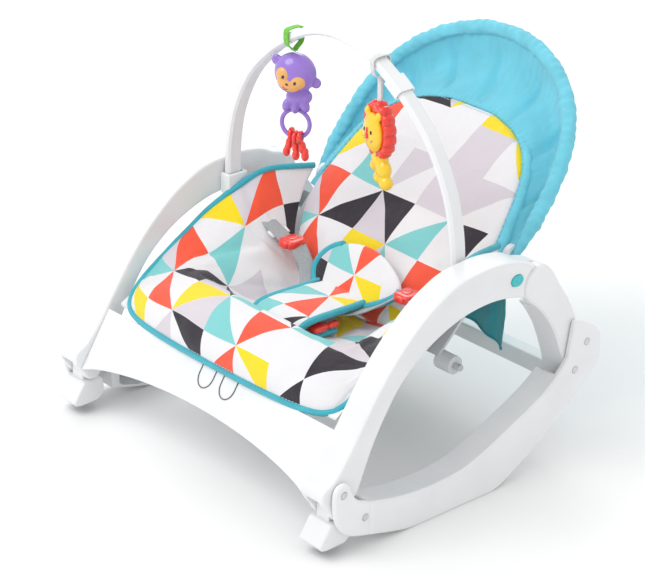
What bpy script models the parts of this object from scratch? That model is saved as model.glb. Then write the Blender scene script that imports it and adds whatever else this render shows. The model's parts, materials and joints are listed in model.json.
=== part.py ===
"""Rocking baby bouncer seat with a folded-back hood, a lift-off toy bar and a folding rocker base.

Metres, +Z up, +Y from the foot end to the head end, X across. The outlines are drawn with y = 0 at
the front edge of the feet. The finished pieces are then moved so that the origin is on the floor,
at the middle of the whole width and length.
"""

import math

import bmesh
import bpy
from mathutils import Matrix, Vector

MID_Y = 0.25224  # from the front edge of the feet to the middle of the whole length
GAP = 0.0004  # clearance between touching pieces
FRAME_OUT = 0.2400  # outer face of a side frame
FRAME_IN = 0.2020  # inner face of a side frame
LAP = 0.2243  # where the arch's rear end is halved against the rear leg
CHEEK_IN = 0.2406  # inner face of the rail's cheeks
RAIL_OUT = 0.2480  # outer face of a rocker rail
RAIL_IN = 0.2120  # inner face of a rocker rail
KNUCKLE_END = 0.0635  # rear edge of the front knuckle's plate
FOLD_YZ = (0.3220, 0.2330)  # fold pivot, and centre of the arch's round rear end
FOOT_YZ = (0.0280, 0.0560)  # hinge of the front feet
BUTTON_YZ = (0.2850, 0.2480)  # centre of the fold release button
RECLINE_YZ = (0.2620, 0.1250)  # backrest hinge
HOOD_YZ = (0.3540, 0.2330)  # hood hubs
BACK_SLOPE = math.radians(48.0)  # backrest angle above the floor
HOOD_DIR = (0.625, 0.781)  # direction of the hood hoop's plane, from its hubs
BAR_Y = 0.2380  # plane of the toy bar
BAR_SPLIT_X = 0.1000  # joint between the toy bar's two pieces
PANEL_SLOPE = 0.66  # front panel's run per rise
TOY_L_X = -0.0800  # where the rattle hangs
TOY_R_X = 0.0660  # where the lion hangs

WHITE = (0.86, 0.87, 0.88)
GREY = (0.62, 0.64, 0.67)
TEAL = (0.10, 0.55, 0.62)
RED = (0.80, 0.06, 0.04)
YELLOW = (0.95, 0.72, 0.03)
PURPLE = (0.36, 0.20, 0.66)
GREEN = (0.15, 0.68, 0.06)
STEEL = (0.55, 0.56, 0.58)
PRINT = (0.83, 0.83, 0.85)
RUBBER = (0.16, 0.17, 0.18)


for old in list(bpy.data.objects):
    bpy.data.objects.remove(old)
PARTS = bpy.data.collections.new("bouncer_seat")
CUTS = bpy.data.collections.new("cutters")
CUTS.hide_render = True
for group in (PARTS, CUTS):
    bpy.context.scene.collection.children.link(group)


def material(name, colour, rough=0.4, metal=0.0):
    mat = bpy.data.materials.get(name) or bpy.data.materials.new(name)
    mat.use_nodes = True
    shader = mat.node_tree.nodes["Principled BSDF"]
    shader.inputs["Base Color"].default_value = (*colour, 1.0)
    shader.inputs["Roughness"].default_value = rough
    shader.inputs["Metallic"].default_value = metal
    mat.diffuse_color = (*colour, 1.0)
    return mat


def place(name, bm, origin, look, cutter=False):
    """A named object from a bmesh in world coordinates, with its origin on the joint axis."""
    bmesh.ops.remove_doubles(bm, verts=bm.verts, dist=0.00005)
    bmesh.ops.recalc_face_normals(bm, faces=bm.faces)
    bmesh.ops.translate(bm, verts=bm.verts, vec=-Vector(origin))
    mesh = bpy.data.meshes.new(name)
    bm.to_mesh(mesh)
    bm.free()
    obj = bpy.data.objects.new(name, mesh)
    obj.location = origin
    if cutter:
        CUTS.objects.link(obj)
        obj.hide_render = True
        obj.display_type = "WIRE"
    else:
        PARTS.objects.link(obj)
        mesh.materials.append(material(name, *look))
    return obj


def bake(obj):
    """The object's modifiers made into its mesh."""
    bpy.context.view_layer.update()
    graph = bpy.context.evaluated_depsgraph_get()
    mesh = bpy.data.meshes.new_from_object(obj.evaluated_get(graph))
    obj.modifiers.clear()
    obj.data = mesh


def bevel(obj, width, segments=2, angle=40.0):
    mod = obj.modifiers.new("edges", "BEVEL")
    mod.width = width
    mod.segments = segments
    mod.limit_method = "ANGLE"
    mod.angle_limit = math.radians(angle)
    bake(obj)


def boolean(obj, other, operation):
    mod = obj.modifiers.new("cut", "BOOLEAN")
    mod.operation = operation
    mod.solver = "EXACT"
    mod.object = other
    bake(obj)
    if other.name in PARTS.objects or operation == "UNION":
        bpy.data.objects.remove(other)


def smooth(points, steps=4, closed=False):
    """A Catmull-Rom curve through the points."""
    pts = [Vector(p) for p in points]
    count = len(pts)
    out = []
    for i in range(count if closed else count - 1):
        if closed:
            p0, p1, p2, p3 = (pts[(i + k) % count] for k in (-1, 0, 1, 2))
        else:
            p0, p1, p2, p3 = (pts[min(max(i + k, 0), count - 1)] for k in (-1, 0, 1, 2))
        for j in range(steps):
            t = j / steps
            out.append(
                0.5
                * (
                    2 * p1
                    + (p2 - p0) * t
                    + (2 * p0 - 5 * p1 + 4 * p2 - p3) * t * t
                    + (3 * p1 - 3 * p2 + p3 - p0) * t * t * t
                )
            )
    if not closed:
        out.append(pts[-1])
    return out


def prism(name, outline, x0, x1, origin, look, cutter=False):
    """An outline in (y, z) extruded across, from x0 to x1."""
    bm = bmesh.new()
    first = [bm.verts.new((x0, p[0], p[1])) for p in outline]
    last = [bm.verts.new((x1, p[0], p[1])) for p in outline]
    bm.faces.new(first)
    bm.faces.new(last[::-1])
    count = len(outline)
    for i in range(count):
        k = (i + 1) % count
        bm.faces.new((first[i], last[i], last[k], first[k]))
    return place(name, bm, origin, look, cutter)


def span(sign, near, far):
    """The x range from near to far, on the side given by the sign."""
    return tuple(sorted((sign * near, sign * far)))


def circle(centre, radius, count=24, start=0.0):
    return [
        (
            centre[0] + radius * math.cos(start + 2 * math.pi * i / count),
            centre[1] + radius * math.sin(start + 2 * math.pi * i / count),
        )
        for i in range(count)
    ]


def cylinder_x(name, yz, radius, x0, x1, look, cutter=False, count=24):
    return prism(name, circle(yz, radius, count), x0, x1, (0.5 * (x0 + x1), *yz), look, cutter)


def box(name, low, high, look, origin=None, cutter=False):
    bm = bmesh.new()
    bmesh.ops.create_cube(bm, size=1.0)
    centre = [(a + b) / 2 for a, b in zip(low, high)]
    size = [b - a for a, b in zip(low, high)]
    bmesh.ops.transform(
        bm, matrix=Matrix.Translation(centre) @ Matrix.Diagonal((*size, 1.0)), verts=bm.verts
    )
    return place(name, bm, origin or centre, look, cutter)


def slab(name, across, along, surface, thickness, origin, look):
    """A closed sheet: surface(u, v) is its front face, thickness(u, v) an offset to its back."""
    bm = bmesh.new()
    faces = []
    for back in (False, True):
        rows = []
        for j in range(along + 1):
            row = []
            for i in range(across + 1):
                u, v = 2 * i / across - 1, j / along
                point = Vector(surface(u, v))
                if back:
                    point = point + Vector(thickness(u, v))
                row.append(bm.verts.new(point))
            rows.append(row)
        faces.append(rows)
        for j in range(along):
            for i in range(across):
                bm.faces.new((rows[j][i], rows[j][i + 1], rows[j + 1][i + 1], rows[j + 1][i]))
    top, low = faces
    for i in range(across):
        bm.faces.new((top[0][i], top[0][i + 1], low[0][i + 1], low[0][i]))
        bm.faces.new((top[along][i], top[along][i + 1], low[along][i + 1], low[along][i]))
    for j in range(along):
        bm.faces.new((top[j][0], top[j + 1][0], low[j + 1][0], low[j][0]))
        bm.faces.new((top[j][across], top[j + 1][across], low[j + 1][across], low[j][across]))
    return place(name, bm, origin, look)


def sweep(name, path, section, origin, look, closed=False, side=(0.0, 1.0, 0.0)):
    """A section of (in-plane, sideways) points carried along a path."""
    bm = bmesh.new()
    rings = []
    count = len(path)
    side = Vector(side)
    for i, point in enumerate(path):
        if closed:
            run = path[(i + 1) % count] - path[i - 1]
        else:
            run = path[min(i + 1, count - 1)] - path[max(i - 1, 0)]
        out = run.normalized().cross(side).normalized()
        across = out.cross(run.normalized()).normalized()
        rings.append([bm.verts.new(point + out * a + across * b) for a, b in section])
    size = len(section)
    for i in range(count if closed else count - 1):
        one, two = rings[i], rings[(i + 1) % count]
        for k in range(size):
            n = (k + 1) % size
            bm.faces.new((one[k], one[n], two[n], two[k]))
    if not closed:
        bm.faces.new(rings[0])
        bm.faces.new(rings[-1][::-1])
    return place(name, bm, origin, look)


def ball(name, centre, radii, look, origin=None, rings=12, segments=18, cutter=False):
    bm = bmesh.new()
    bmesh.ops.create_uvsphere(bm, u_segments=segments, v_segments=rings, radius=1.0)
    bmesh.ops.transform(
        bm, matrix=Matrix.Translation(centre) @ Matrix.Diagonal((*radii, 1.0)), verts=bm.verts
    )
    return place(name, bm, origin or centre, look, cutter)


def round_section(radius, count=10):
    return circle((0.0, 0.0), radius, count)


def flat_section(depth, width, corner=0.0025):
    a, b, c = depth / 2, width / 2, corner
    return [(-a + c, -b), (a - c, -b), (a, -b + c), (a, b - c), (a - c, b), (-a + c, b), (-a, b - c),
            (-a, -b + c)]


# Outlines in (y, z).
ARCH_OUTER = smooth(
    [(0.009, 0.062), (0.004, 0.071), (0.005, 0.083), (0.020, 0.092), (0.039, 0.114), (0.065, 0.151),
     (0.084, 0.178), (0.112, 0.211), (0.150, 0.2440), (0.180, 0.2610), (0.206, 0.2705), (0.250, 0.2745),
     (0.286, 0.2700), (0.308, 0.2600)],
    4,
)
ARCH_END = smooth(
    [(0.308, 0.2600), (0.3290, 0.2535), (0.3410, 0.2440), (0.3440, 0.2310), (0.3380, 0.2190),
     (0.3270, 0.2120),
     (0.3130, 0.2140)],
    3,
)[1:-1]
ARCH_INNER = smooth(
    [(0.3130, 0.2140), (0.291, 0.2245), (0.255, 0.2315), (0.217, 0.2295), (0.185, 0.2210), (0.153, 0.2060),
     (0.128, 0.1880), (0.110, 0.1700), (0.092, 0.1450), (0.076, 0.1180), (0.064, 0.0920), (0.0560, 0.0740),
     (0.0500, 0.0640)],
    4,
)
EARS = [
    (FOOT_YZ[0] + 0.0130 * math.cos(a), FOOT_YZ[1] + 0.0130 * math.sin(a))
    for a in [math.radians(-10 - 20 * i) for i in range(9)]
]
ARCH = [tuple(p) for p in ARCH_OUTER + ARCH_END + ARCH_INNER] + [(0.0450, 0.0590)] + EARS

LEG_TOP = smooth(
    [(0.3110, 0.2120), (0.2995, 0.2240), (0.2985, 0.2370), (0.3060, 0.2490), (0.3180, 0.2550),
     (0.3300, 0.2540),
     (0.3430, 0.2420), (0.3560, 0.2210), (0.3700, 0.2000), (0.3800, 0.1800), (0.3880, 0.1550),
     (0.3950, 0.1300),
     (0.3960, 0.1100), (0.3890, 0.0960)],
    3,
)
LEG_INNER = smooth(
    [(0.3700, 0.0960), (0.3660, 0.1180), (0.3580, 0.1420), (0.3490, 0.1640), (0.3370, 0.1840),
     (0.3240, 0.2000),
     (0.3110, 0.2120)],
    3,
)[:-1]
LEG = [tuple(p) for p in LEG_TOP + LEG_INNER]
LEG_BODY = [
    (0.3520, 0.2050), (0.3640, 0.2080), (0.3700, 0.1990), (0.3798, 0.1795), (0.3876, 0.1550),
    (0.3945, 0.1300),
    (0.3955, 0.1105), (0.3885, 0.0964), (0.3704, 0.0964), (0.3664, 0.1181), (0.3584, 0.1422),
    (0.3494, 0.1643),
    (0.3374, 0.1844), (0.3262, 0.1985), (0.3380, 0.1995),
]

RAIL_TOP = smooth(
    [(0.0610, 0.0570), (0.0750, 0.0530), (0.1090, 0.0460), (0.1500, 0.0425), (0.1980, 0.0450),
     (0.2350, 0.0560),
     (0.2680, 0.0700), (0.3220, 0.0950), (0.3500, 0.1150), (0.3640, 0.1300)],
    3,
)
RAIL_LOW = smooth(
    [(0.4160, 0.1120), (0.4000, 0.0950), (0.3780, 0.0790), (0.3520, 0.0580), (0.3240, 0.0385),
     (0.2920, 0.0195),
     (0.2680, 0.0065), (0.2560, 0.0012)],
    3,
)[:-1] + [Vector((y, 0.0)) for y in (0.2480, 0.2100, 0.1700, 0.1350)] + smooth(
    [(0.1200, 0.0008), (0.1000, 0.0050), (0.0720, 0.0125), (0.0450, 0.0200), (0.0320, 0.0255),
     (0.0225, 0.0345),
     (0.0165, 0.0470), (0.0140, 0.0620), (0.0140, 0.0765), (0.0178, 0.0865), (0.0262, 0.0900),
     (0.0345, 0.0865),
     (0.0385, 0.0780), (0.0430, 0.0680), (0.0510, 0.0610)],
    3,
)
RAIL = [tuple(p) for p in RAIL_TOP] + [(0.3680, 0.1500), (0.3730, 0.1735), (0.3880, 0.1690),
                                       (0.4100, 0.1560), (0.4160, 0.1450),
                                       (0.4175, 0.1250)] + [tuple(p) for p in RAIL_LOW]
BEAM = (
    [(0.0614, 0.0566)]
    + [(p[0], p[1] - 0.0004) for p in RAIL_TOP if 0.0700 < p[0] < 0.3440]
    + [(0.3480, 0.1120), (0.3560, 0.1060), (0.3660, 0.0900), (0.3920, 0.0900)]
    + [(p[0], p[1] + (0.0004 if p[1] > 0.002 else 0.0)) for p in RAIL_LOW if 0.0640 < p[0] < 0.3910]
    + [(0.0614, 0.0158)]
)

HOLLOW = (
    [(0.0720, 0.0480)]
    + [(p[0], p[1] - 0.0044) for p in RAIL_TOP[::2] if 0.0800 < p[0] < 0.3300]
    + [(0.3420, 0.1020), (0.3500, 0.0960), (0.3560, 0.0880), (0.3640, 0.0800)]
    + [(p[0] - 0.002, p[1] + 0.0046) for p in RAIL_LOW[::2] if 0.0800 < p[0] < 0.3600]
    + [(0.0720, 0.0190)]
)
LEG_HOLLOW = [
    (0.3560, 0.1960), (0.3660, 0.1900), (0.3745, 0.1700), (0.3820, 0.1500), (0.3890, 0.1280),
    (0.3890, 0.1120),
    (0.3850, 0.1020), (0.3745, 0.1020), (0.3705, 0.1200), (0.3625, 0.1450), (0.3535, 0.1670),
    (0.3440, 0.1850),
]

FOOT_PROFILE = [
    (0.0150, 0.0410), (-0.0005, 0.0180), (0.0030, 0.0135), (0.0090, 0.0120), (0.0350, 0.0130),
    (0.0425, 0.0180),
    (0.0440, 0.0260), (0.0430, 0.0360), (0.0400, 0.0412), (0.0280, 0.0414),
]


LAP_CUT = [
    (FOLD_YZ[0] + 0.0258 * math.cos(a), FOLD_YZ[1] + 0.0258 * math.sin(a))
    for a in [math.radians(90 + 12 * i) for i in range(16)]
] + [(0.3700, 0.2072), (0.3700, 0.2588)]


def side_pieces(tag, sign):
    """Every piece that each side of the seat repeats; sign is +1 on the +X side."""
    fold = (sign * 0.221, *FOLD_YZ)

    arch = prism("side_frame_" + tag, ARCH, *span(sign, FRAME_IN, FRAME_OUT), (sign * 0.221, 0.0, 0.0),
                 (WHITE, 0.32))
    bevel(arch, 0.0030, 2, 50)
    cuts = [
        prism("cut", LAP_CUT, *span(sign, LAP, 0.2500), fold, (WHITE,), True),
        box("cut", (span(sign, 0.2115, 0.2325)[0], -0.01, 0.03),
            (span(sign, 0.2115, 0.2325)[1], 0.07, 0.0705), (WHITE,), cutter=True),
        cylinder_x("cut", FOLD_YZ, 0.00408, *span(sign, 0.2040, 0.2500), (WHITE,), True),
        cylinder_x("cut", FOOT_YZ, 0.00308, *span(sign, 0.2035, 0.2385), (WHITE,), True, 16),
    ]
    oval = [(BUTTON_YZ[0] + 0.0094 * math.cos(a), BUTTON_YZ[1] + 0.0074 * math.sin(a))
            for a in [2 * math.pi * i / 28 for i in range(28)]]
    cuts.append(prism("cut", oval, *span(sign, 0.2280, 0.2500), fold, (WHITE,), True))
    for cut in cuts:
        boolean(arch, cut, "DIFFERENCE")

    button = [(BUTTON_YZ[0] + 0.0090 * math.cos(a), BUTTON_YZ[1] + 0.0070 * math.sin(a))
              for a in [2 * math.pi * i / 28 for i in range(28)]]
    obj = prism("fold_button_" + tag, button, *span(sign, 0.2330, 0.2418), (sign * 0.2418, *BUTTON_YZ),
                (TEAL, 0.3))
    bevel(obj, 0.0010, 2, 50)

    leg = prism("rear_leg_" + tag, LEG, *span(sign, LAP + 0.0004, FRAME_OUT), fold, (WHITE, 0.32))
    bevel(leg, 0.0022, 1, 50)
    body = prism("leg_body", LEG_BODY, *span(sign, FRAME_IN, LAP + 0.0060), fold, (WHITE,))
    bevel(body, 0.0012, 1, 50)
    boolean(leg, body, "UNION")
    boolean(leg, prism("cut", LEG_HOLLOW, *span(sign, FRAME_IN - 0.0020, 0.2340), fold, (WHITE,), True),
            "DIFFERENCE")
    boolean(leg, cylinder_x("cut", FOLD_YZ, 0.00408, *span(sign, 0.2200, 0.2385), (WHITE,), True),
            "DIFFERENCE")
    cylinder_x("fold_pin_" + tag, FOLD_YZ, 0.0040, *span(sign, 0.2045, 0.2380), (STEEL, 0.3, 1.0))

    rail = prism("rocker_rail_" + tag, RAIL, *span(sign, CHEEK_IN, RAIL_OUT), fold, (WHITE, 0.32))
    bevel(rail, 0.0018, 1, 50)
    beam = prism("beam", BEAM, *span(sign, RAIL_IN, CHEEK_IN + 0.0030), fold, (WHITE,))
    bevel(beam, 0.0012, 1, 50)
    boolean(rail, beam, "UNION")
    boolean(rail, prism("cut", HOLLOW, *span(sign, RAIL_IN - 0.0020, 0.2440), fold, (WHITE,), True),
            "DIFFERENCE")
    front = span(sign, CHEEK_IN - 0.0006, 0.2600)
    front_cut = box("cut", (front[0], 0.0, -0.01), (front[1], KNUCKLE_END + 0.0003, 0.1000), (WHITE,),
                    cutter=True)
    boolean(rail, front_cut, "DIFFERENCE")
    knuckle = prism("front_knuckle_" + tag, RAIL, *span(sign, CHEEK_IN, RAIL_OUT), fold, (WHITE, 0.32))
    bevel(knuckle, 0.0018, 1, 50)
    keep = box("keep", (front[0], 0.0, -0.01), (front[1], KNUCKLE_END, 0.1000), (WHITE,), cutter=True)
    boolean(knuckle, keep, "INTERSECT")
    below = span(sign, 0.2110, 0.2500)
    boolean(leg, box("cut", (below[0], 0.34, 0.05), (below[1], 0.40, 0.0930), (WHITE,), cutter=True),
            "DIFFERENCE")
    seats = {"front_upper": (0.0262, 0.0772), "front_lower": (0.0570, 0.0395),
             "rear_upper": (0.3935, 0.1420),
             "rear_lower": (0.3755, 0.1120)}
    for where, yz in seats.items():
        held = knuckle if where.startswith("front") else rail
        boolean(held, cylinder_x("cut", yz, 0.0046, *span(sign, 0.2465, 0.2600), (WHITE,), True, 20),
                "DIFFERENCE")
        screw = prism("screw_" + where + "_" + tag, circle(yz, 0.0042, 20), *span(sign, 0.2468, 0.2486),
                      (sign * 0.2468, *yz), (STEEL, 0.35, 1.0))
        bevel(screw, 0.0005, 1, 50)

    foot = prism("foot_" + tag, FOOT_PROFILE, *span(sign, 0.2040, 0.2400), (sign * 0.222, *FOOT_YZ),
                 (WHITE, 0.35))
    bevel(foot, 0.0020, 2, 40)
    neck = [(0.0185, 0.0390), (0.0185, 0.0560), (0.0213, 0.0627), (0.0280, 0.0655), (0.0347, 0.0627),
            (0.0375, 0.0560),
            (0.0375, 0.0390)]
    boolean(foot, prism("neck", neck, *span(sign, 0.2122, 0.2318), fold, (WHITE,)), "UNION")
    boolean(foot, cylinder_x("cut", FOOT_YZ, 0.00308, *span(sign, 0.2000, 0.2450), (WHITE,), True, 16),
            "DIFFERENCE")
    cylinder_x("foot_pin_" + tag, FOOT_YZ, 0.0030, *span(sign, 0.2040, 0.2380), (STEEL, 0.3, 1.0), count=16)
    pad = box("foot_grip_" + tag, (span(sign, 0.2090, 0.2350)[0], 0.0100, 0.0103),
              (span(sign, 0.2090, 0.2350)[1], 0.0340, 0.0128),
              (RUBBER, 0.8), (sign * 0.222, *FOOT_YZ))
    boolean(foot, box("cut", (span(sign, 0.2086, 0.2354)[0], 0.0096, 0.0050),
                      (span(sign, 0.2086, 0.2354)[1], 0.0344, 0.0132),
                      (WHITE,), cutter=True), "DIFFERENCE")

    socket = box("bar_socket_" + tag, (span(sign, 0.1845, FRAME_IN - GAP)[0], 0.2235, 0.2300),
                 (span(sign, 0.1845, FRAME_IN - GAP)[1], 0.2525, 0.2560), (WHITE, 0.35))
    bevel(socket, 0.0012, 1, 50)
    boolean(socket, box("cut", (span(sign, 0.1872, 0.2001)[0], 0.2272, 0.2330),
                        (span(sign, 0.1872, 0.2001)[1], 0.2488, 0.2700),
                        (WHITE,), cutter=True), "DIFFERENCE")


side_pieces("R", 1)
side_pieces("L", -1)


def panel_point(x, z):
    return (x, 0.0240 + PANEL_SLOPE * (z - 0.0870) + 0.0020, z)


def panel_surface(u, v):
    x = u * (FRAME_IN - GAP)
    low = 0.0630 + 0.0230 * (1 - u * u) ** 0.8
    return panel_point(x, low + (0.1280 - low) * v)


slab("front_panel", 24, 4, panel_surface, lambda u, v: (0.0, 0.0045, -0.0028), (0.0, 0.05, 0.10),
     (WHITE, 0.34))


def seat_floor(y):
    """Height of the middle of the seat shell."""
    knots = [(0.060, 0.1330), (0.080, 0.1290), (0.110, 0.1080), (0.150, 0.0960), (0.190, 0.0940),
             (0.240, 0.1000)]
    for (a, za), (b, zb) in zip(knots, knots[1:]):
        if y <= b:
            t = (y - a) / (b - a)
            return za + (zb - za) * t * t * (3 - 2 * t)
    return knots[-1][1]


def seat_side(y):
    """Height of the shell's side edge."""
    return 0.1330 + (y - 0.0600) * 0.5450


def shell_surface(u, v):
    y = 0.0640 + v * 0.1760
    half = 0.1925 - 0.0110 * v
    low, high = seat_floor(y), seat_side(y)
    return (u * half, y, low + (high - low) * abs(u) ** 3.5)


def shell_back(u, v):
    return (-0.0020 * u * abs(u) ** 3, 0.0, -0.0034)


shell = slab("seat_shell", 20, 8, shell_surface, shell_back, (0.0, 0.15, 0.1), (WHITE, 0.4))
for sign in (-1, 1):
    ear = [(0.2380, 0.2000), (0.2330, 0.1800), (0.2330, 0.1180), (0.2500, 0.1130), (0.2680, 0.1130),
           (0.2740, 0.1200), (0.2740, 0.1320),
           (0.2600, 0.1500), (0.2440, 0.2000)]
    boolean(shell, prism("ear", ear, *span(sign, 0.1700, 0.1750), (0.0, 0.25, 0.15), (WHITE,)), "UNION")
    boolean(shell, cylinder_x("cut", RECLINE_YZ, 0.00408, *span(sign, 0.1600, 0.1850), (WHITE,), True),
            "DIFFERENCE")
    tag = "R" if sign > 0 else "L"
    cylinder_x("recline_pin_" + tag, RECLINE_YZ, 0.0040, *span(sign, 0.1560, 0.1790), (STEEL, 0.3, 1.0))


def pad_surface(u, v):
    y = 0.0500 + v * 0.1880
    half = 0.1950 - 0.0110 * v
    low, high = seat_floor(max(y, 0.066)), seat_side(max(y, 0.06))
    roll = 0.0165 * math.exp(-(((y - 0.098) / 0.029) ** 2))
    puff = 0.0300 * (1 - abs(u) ** 4) ** 0.5 if abs(u) < 1 else 0.0
    edge = 0.0060 + 0.0060 * (1 - v)
    rise = (high - low) * abs(u) ** 3.2
    start = math.sin(0.5 * math.pi * min(1.0, v / 0.10)) if v < 0.10 else 1.0
    return (u * half, y, low + rise + edge + (puff + roll * (1 - u**4)) * start)


def pad_back(u, v):
    y = 0.0500 + v * 0.1880
    half = 0.1950 - 0.0110 * v
    low, high = seat_floor(max(y, 0.066)), seat_side(max(y, 0.06))
    face = pad_surface(u, v)
    under = low + (high - low) * abs(u) ** 3.5 + 0.0026 + 0.0024 * abs(u) ** 8
    return (-0.0030 * u, 0.0, min(under - face[2], -0.0035))


slab("seat_pad", 18, 10, pad_surface, pad_back, (0.0, 0.15, 0.13), (PRINT, 0.85))

RUN = Vector((0.0, math.cos(BACK_SLOPE), math.sin(BACK_SLOPE)))
OUT = Vector((0.0, -math.sin(BACK_SLOPE), math.cos(BACK_SLOPE)))
HINGE = Vector((0.0, *RECLINE_YZ))


def back_half(s):
    """Half width of the backrest shell at a distance up from its hinge."""
    top = 0.3020
    wide = 0.1500 + 0.0060 * math.sin(math.pi * min(s / 0.18, 1.0))
    if s < 0.1500:
        return wide
    t = min((s - 0.1500) / (top - 0.1500), 1.0)
    return max(0.0300, wide * (1 - t**2.4) ** 0.62)


def back_point(x, s, lift):
    dish = 0.0120 * (abs(x) / 0.15) ** 2.5
    return Vector((x, 0.0, 0.0)) + HINGE + RUN * s + OUT * (lift + dish)


def back_shell(u, v):
    s = 0.3000 * v
    half = back_half(s)
    return back_point(u * half, s, 0.0)


shell_b = slab("backrest_shell", 14, 14, back_shell, lambda u, v: -OUT * 0.0032, tuple(HINGE), (GREY, 0.4))
for sign in (-1, 1):
    hub = circle(RECLINE_YZ, 0.0110, 20)
    boolean(shell_b, prism("hub", hub, *span(sign, 0.1455, 0.1694), tuple(HINGE), (GREY,)), "UNION")
    boolean(shell_b, cylinder_x("cut", RECLINE_YZ, 0.00408, *span(sign, 0.1550, 0.1750), (GREY,), True),
            "DIFFERENCE")


for sign in (-1, 1):
    boss = prism("boss", circle(HOOD_YZ, 0.0070, 16), *span(sign, 0.1455, 0.1571), tuple(HINGE), (GREY,))
    boolean(shell_b, boss, "UNION")


def back_pad_face(u, v):
    s = 0.0180 + 0.2880 * v
    half = back_half(s) + 0.0020
    puff = 0.0200 * (1 - abs(u) ** 5) ** 0.5 if abs(u) < 1 else 0.0
    ends = min(1.0, math.sin(math.pi * min(max(v, 0.02), 0.985)) * 2.4)
    return back_point(u * half, s, 0.0045 + puff * ends)


def back_pad_under(u, v):
    s = 0.0180 + 0.2880 * v
    half = back_half(s) + 0.0020
    return back_point(u * half, s, 0.0008) - back_pad_face(u, v)


slab("backrest_pad", 14, 12, back_pad_face, back_pad_under, tuple(HINGE), (PRINT, 0.85))

# Hood: hubs on the shell's edges, a hoop of tube, and the fabric between the hoop and the pad.
HOOD = Vector((0.0, *HOOD_YZ))
HOOP_RUN = Vector((0.0, *HOOD_DIR)).normalized()
HOOP = [(0.1690, 0.0), (0.1698, 0.0300), (0.1700, 0.0650), (0.1680, 0.0950), (0.1625, 0.1250),
        (0.1515, 0.1520), (0.1330, 0.1780), (0.1050, 0.2030), (0.0720, 0.2205), (0.0365, 0.2315),
        (0.0, 0.2350)]


def hoop_curve(shrink=0.0, steps=2):
    half = [Vector((x - shrink, 0, 0)) + HOOD + HOOP_RUN * (s - shrink * s / 0.235)
            for x, s in HOOP]
    other = [Vector((-p.x, p.y, p.z)) for p in half[-2::-1]]
    return smooth(half + other, steps)


sweep("hood_hoop", hoop_curve(), round_section(0.0035, 8), tuple(HOOD), (WHITE, 0.35),
      side=tuple(HOOP_RUN.cross(Vector((1, 0, 0)))))
for tag, sign in (("R", 1), ("L", -1)):
    hub = prism("hood_hub_" + tag, circle(HOOD_YZ, 0.0120, 20), *span(sign, 0.1575, 0.1648),
                (sign * 0.161, *HOOD_YZ), (WHITE, 0.35))
    bevel(hub, 0.0012, 1, 50)


def hood_face(u, v):
    angle = 0.5 * math.pi * (1 - abs(u))
    rim = hoop_curve(0.0065, 2)
    place_at = (1 - 0.93 * u) / 2 * (len(rim) - 1)
    i = min(int(place_at), len(rim) - 2)
    outer = rim[i].lerp(rim[i + 1], place_at - i)
    t = math.sin(angle) ** 0.9
    s = 0.1560 + 0.1525 * t
    half = math.copysign(0.1625 * max(0.0, 1 - t**2.4) ** 0.62, u)
    inner = Vector((half, 0, 0)) + HINGE + RUN * s + OUT * (-0.0030)
    belly = -OUT * (0.0220 * math.sin(math.pi * v) * (0.35 + 0.65 * math.sin(angle)))
    return outer.lerp(inner, v) + belly


slab("hood", 32, 4, hood_face, lambda u, v: -OUT * 0.0026, tuple(HOOD), (TEAL, 0.8))

# Base cross bar between the rear legs.
bar = prism("rear_cross_bar", [(0.3730, 0.0850), (0.3730, 0.1060), (0.3930, 0.1060), (0.3930, 0.0850)],
            -(FRAME_IN - GAP), FRAME_IN - GAP, (0.0, 0.383, 0.0955), (WHITE, 0.35))
bevel(bar, 0.0020, 2, 50)
boolean(bar, box("cut", (-0.1950, 0.3758, 0.0840), (0.1950, 0.3902, 0.1030), (WHITE,), cutter=True),
        "DIFFERENCE")

# Toy bar in two pieces with a collar over their joint.
BAR = [(0.1935, 0.2340), (0.1945, 0.2600), (0.1915, 0.3000), (0.1800, 0.3450), (0.1540, 0.3930),
       (0.1180, 0.4300),
       (0.0760, 0.4590), (0.0380, 0.4755), (0.0, 0.4810)]
BAR_PATH = smooth([(x, BAR_Y, z) for x, z in BAR] + [(-x, BAR_Y, z) for x, z in BAR[-2::-1]], 4)
split = min(range(len(BAR_PATH)),
            key=lambda i: abs(BAR_PATH[i].x - BAR_SPLIT_X) + (0 if BAR_PATH[i].z > 0.4 else 9))
short = BAR_PATH[: split + 1]
long = BAR_PATH[split:]
joint = BAR_PATH[split]
cut_dir = (BAR_PATH[split + 1] - BAR_PATH[split - 1]).normalized()
short[-1] = joint - cut_dir * 0.0003
long[0] = joint + cut_dir * 0.0003
sweep("toy_bar_short", short, flat_section(0.0094, 0.0190), (0.1935, BAR_Y, 0.234), (WHITE, 0.35))
bar_long = sweep("toy_bar_long", long, flat_section(0.0104, 0.0200), (-0.1935, BAR_Y, 0.234), (WHITE, 0.35))
bm = bmesh.new()
rings = []
for d, grow in ((-0.011, 0.0), (0.011, 0.0)):
    out = cut_dir.cross(Vector((0, 1, 0))).normalized()
    for shell_size in ((0.0146, 0.0242), (0.0110, 0.0206)):
        rings.append([bm.verts.new(joint + cut_dir * d + out * a + Vector((0, 1, 0)) * b)
                      for a, b in flat_section(*shell_size, 0.0024)])
outer_a, inner_a, outer_b, inner_b = rings
for k in range(8):
    n = (k + 1) % 8
    bm.faces.new((outer_a[k], outer_a[n], outer_b[n], outer_b[k]))
    bm.faces.new((inner_a[k], inner_a[n], inner_b[n], inner_b[k]))
    bm.faces.new((outer_a[k], outer_a[n], inner_a[n], inner_a[k]))
    bm.faces.new((outer_b[k], outer_b[n], inner_b[n], inner_b[k]))
place("toy_bar_collar", bm, tuple(joint), (WHITE, 0.35))


def bar_height(x):
    near = min(BAR_PATH, key=lambda p: abs(p.x - x) + (0 if p.z > 0.4 else 9))
    return near.z


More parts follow.
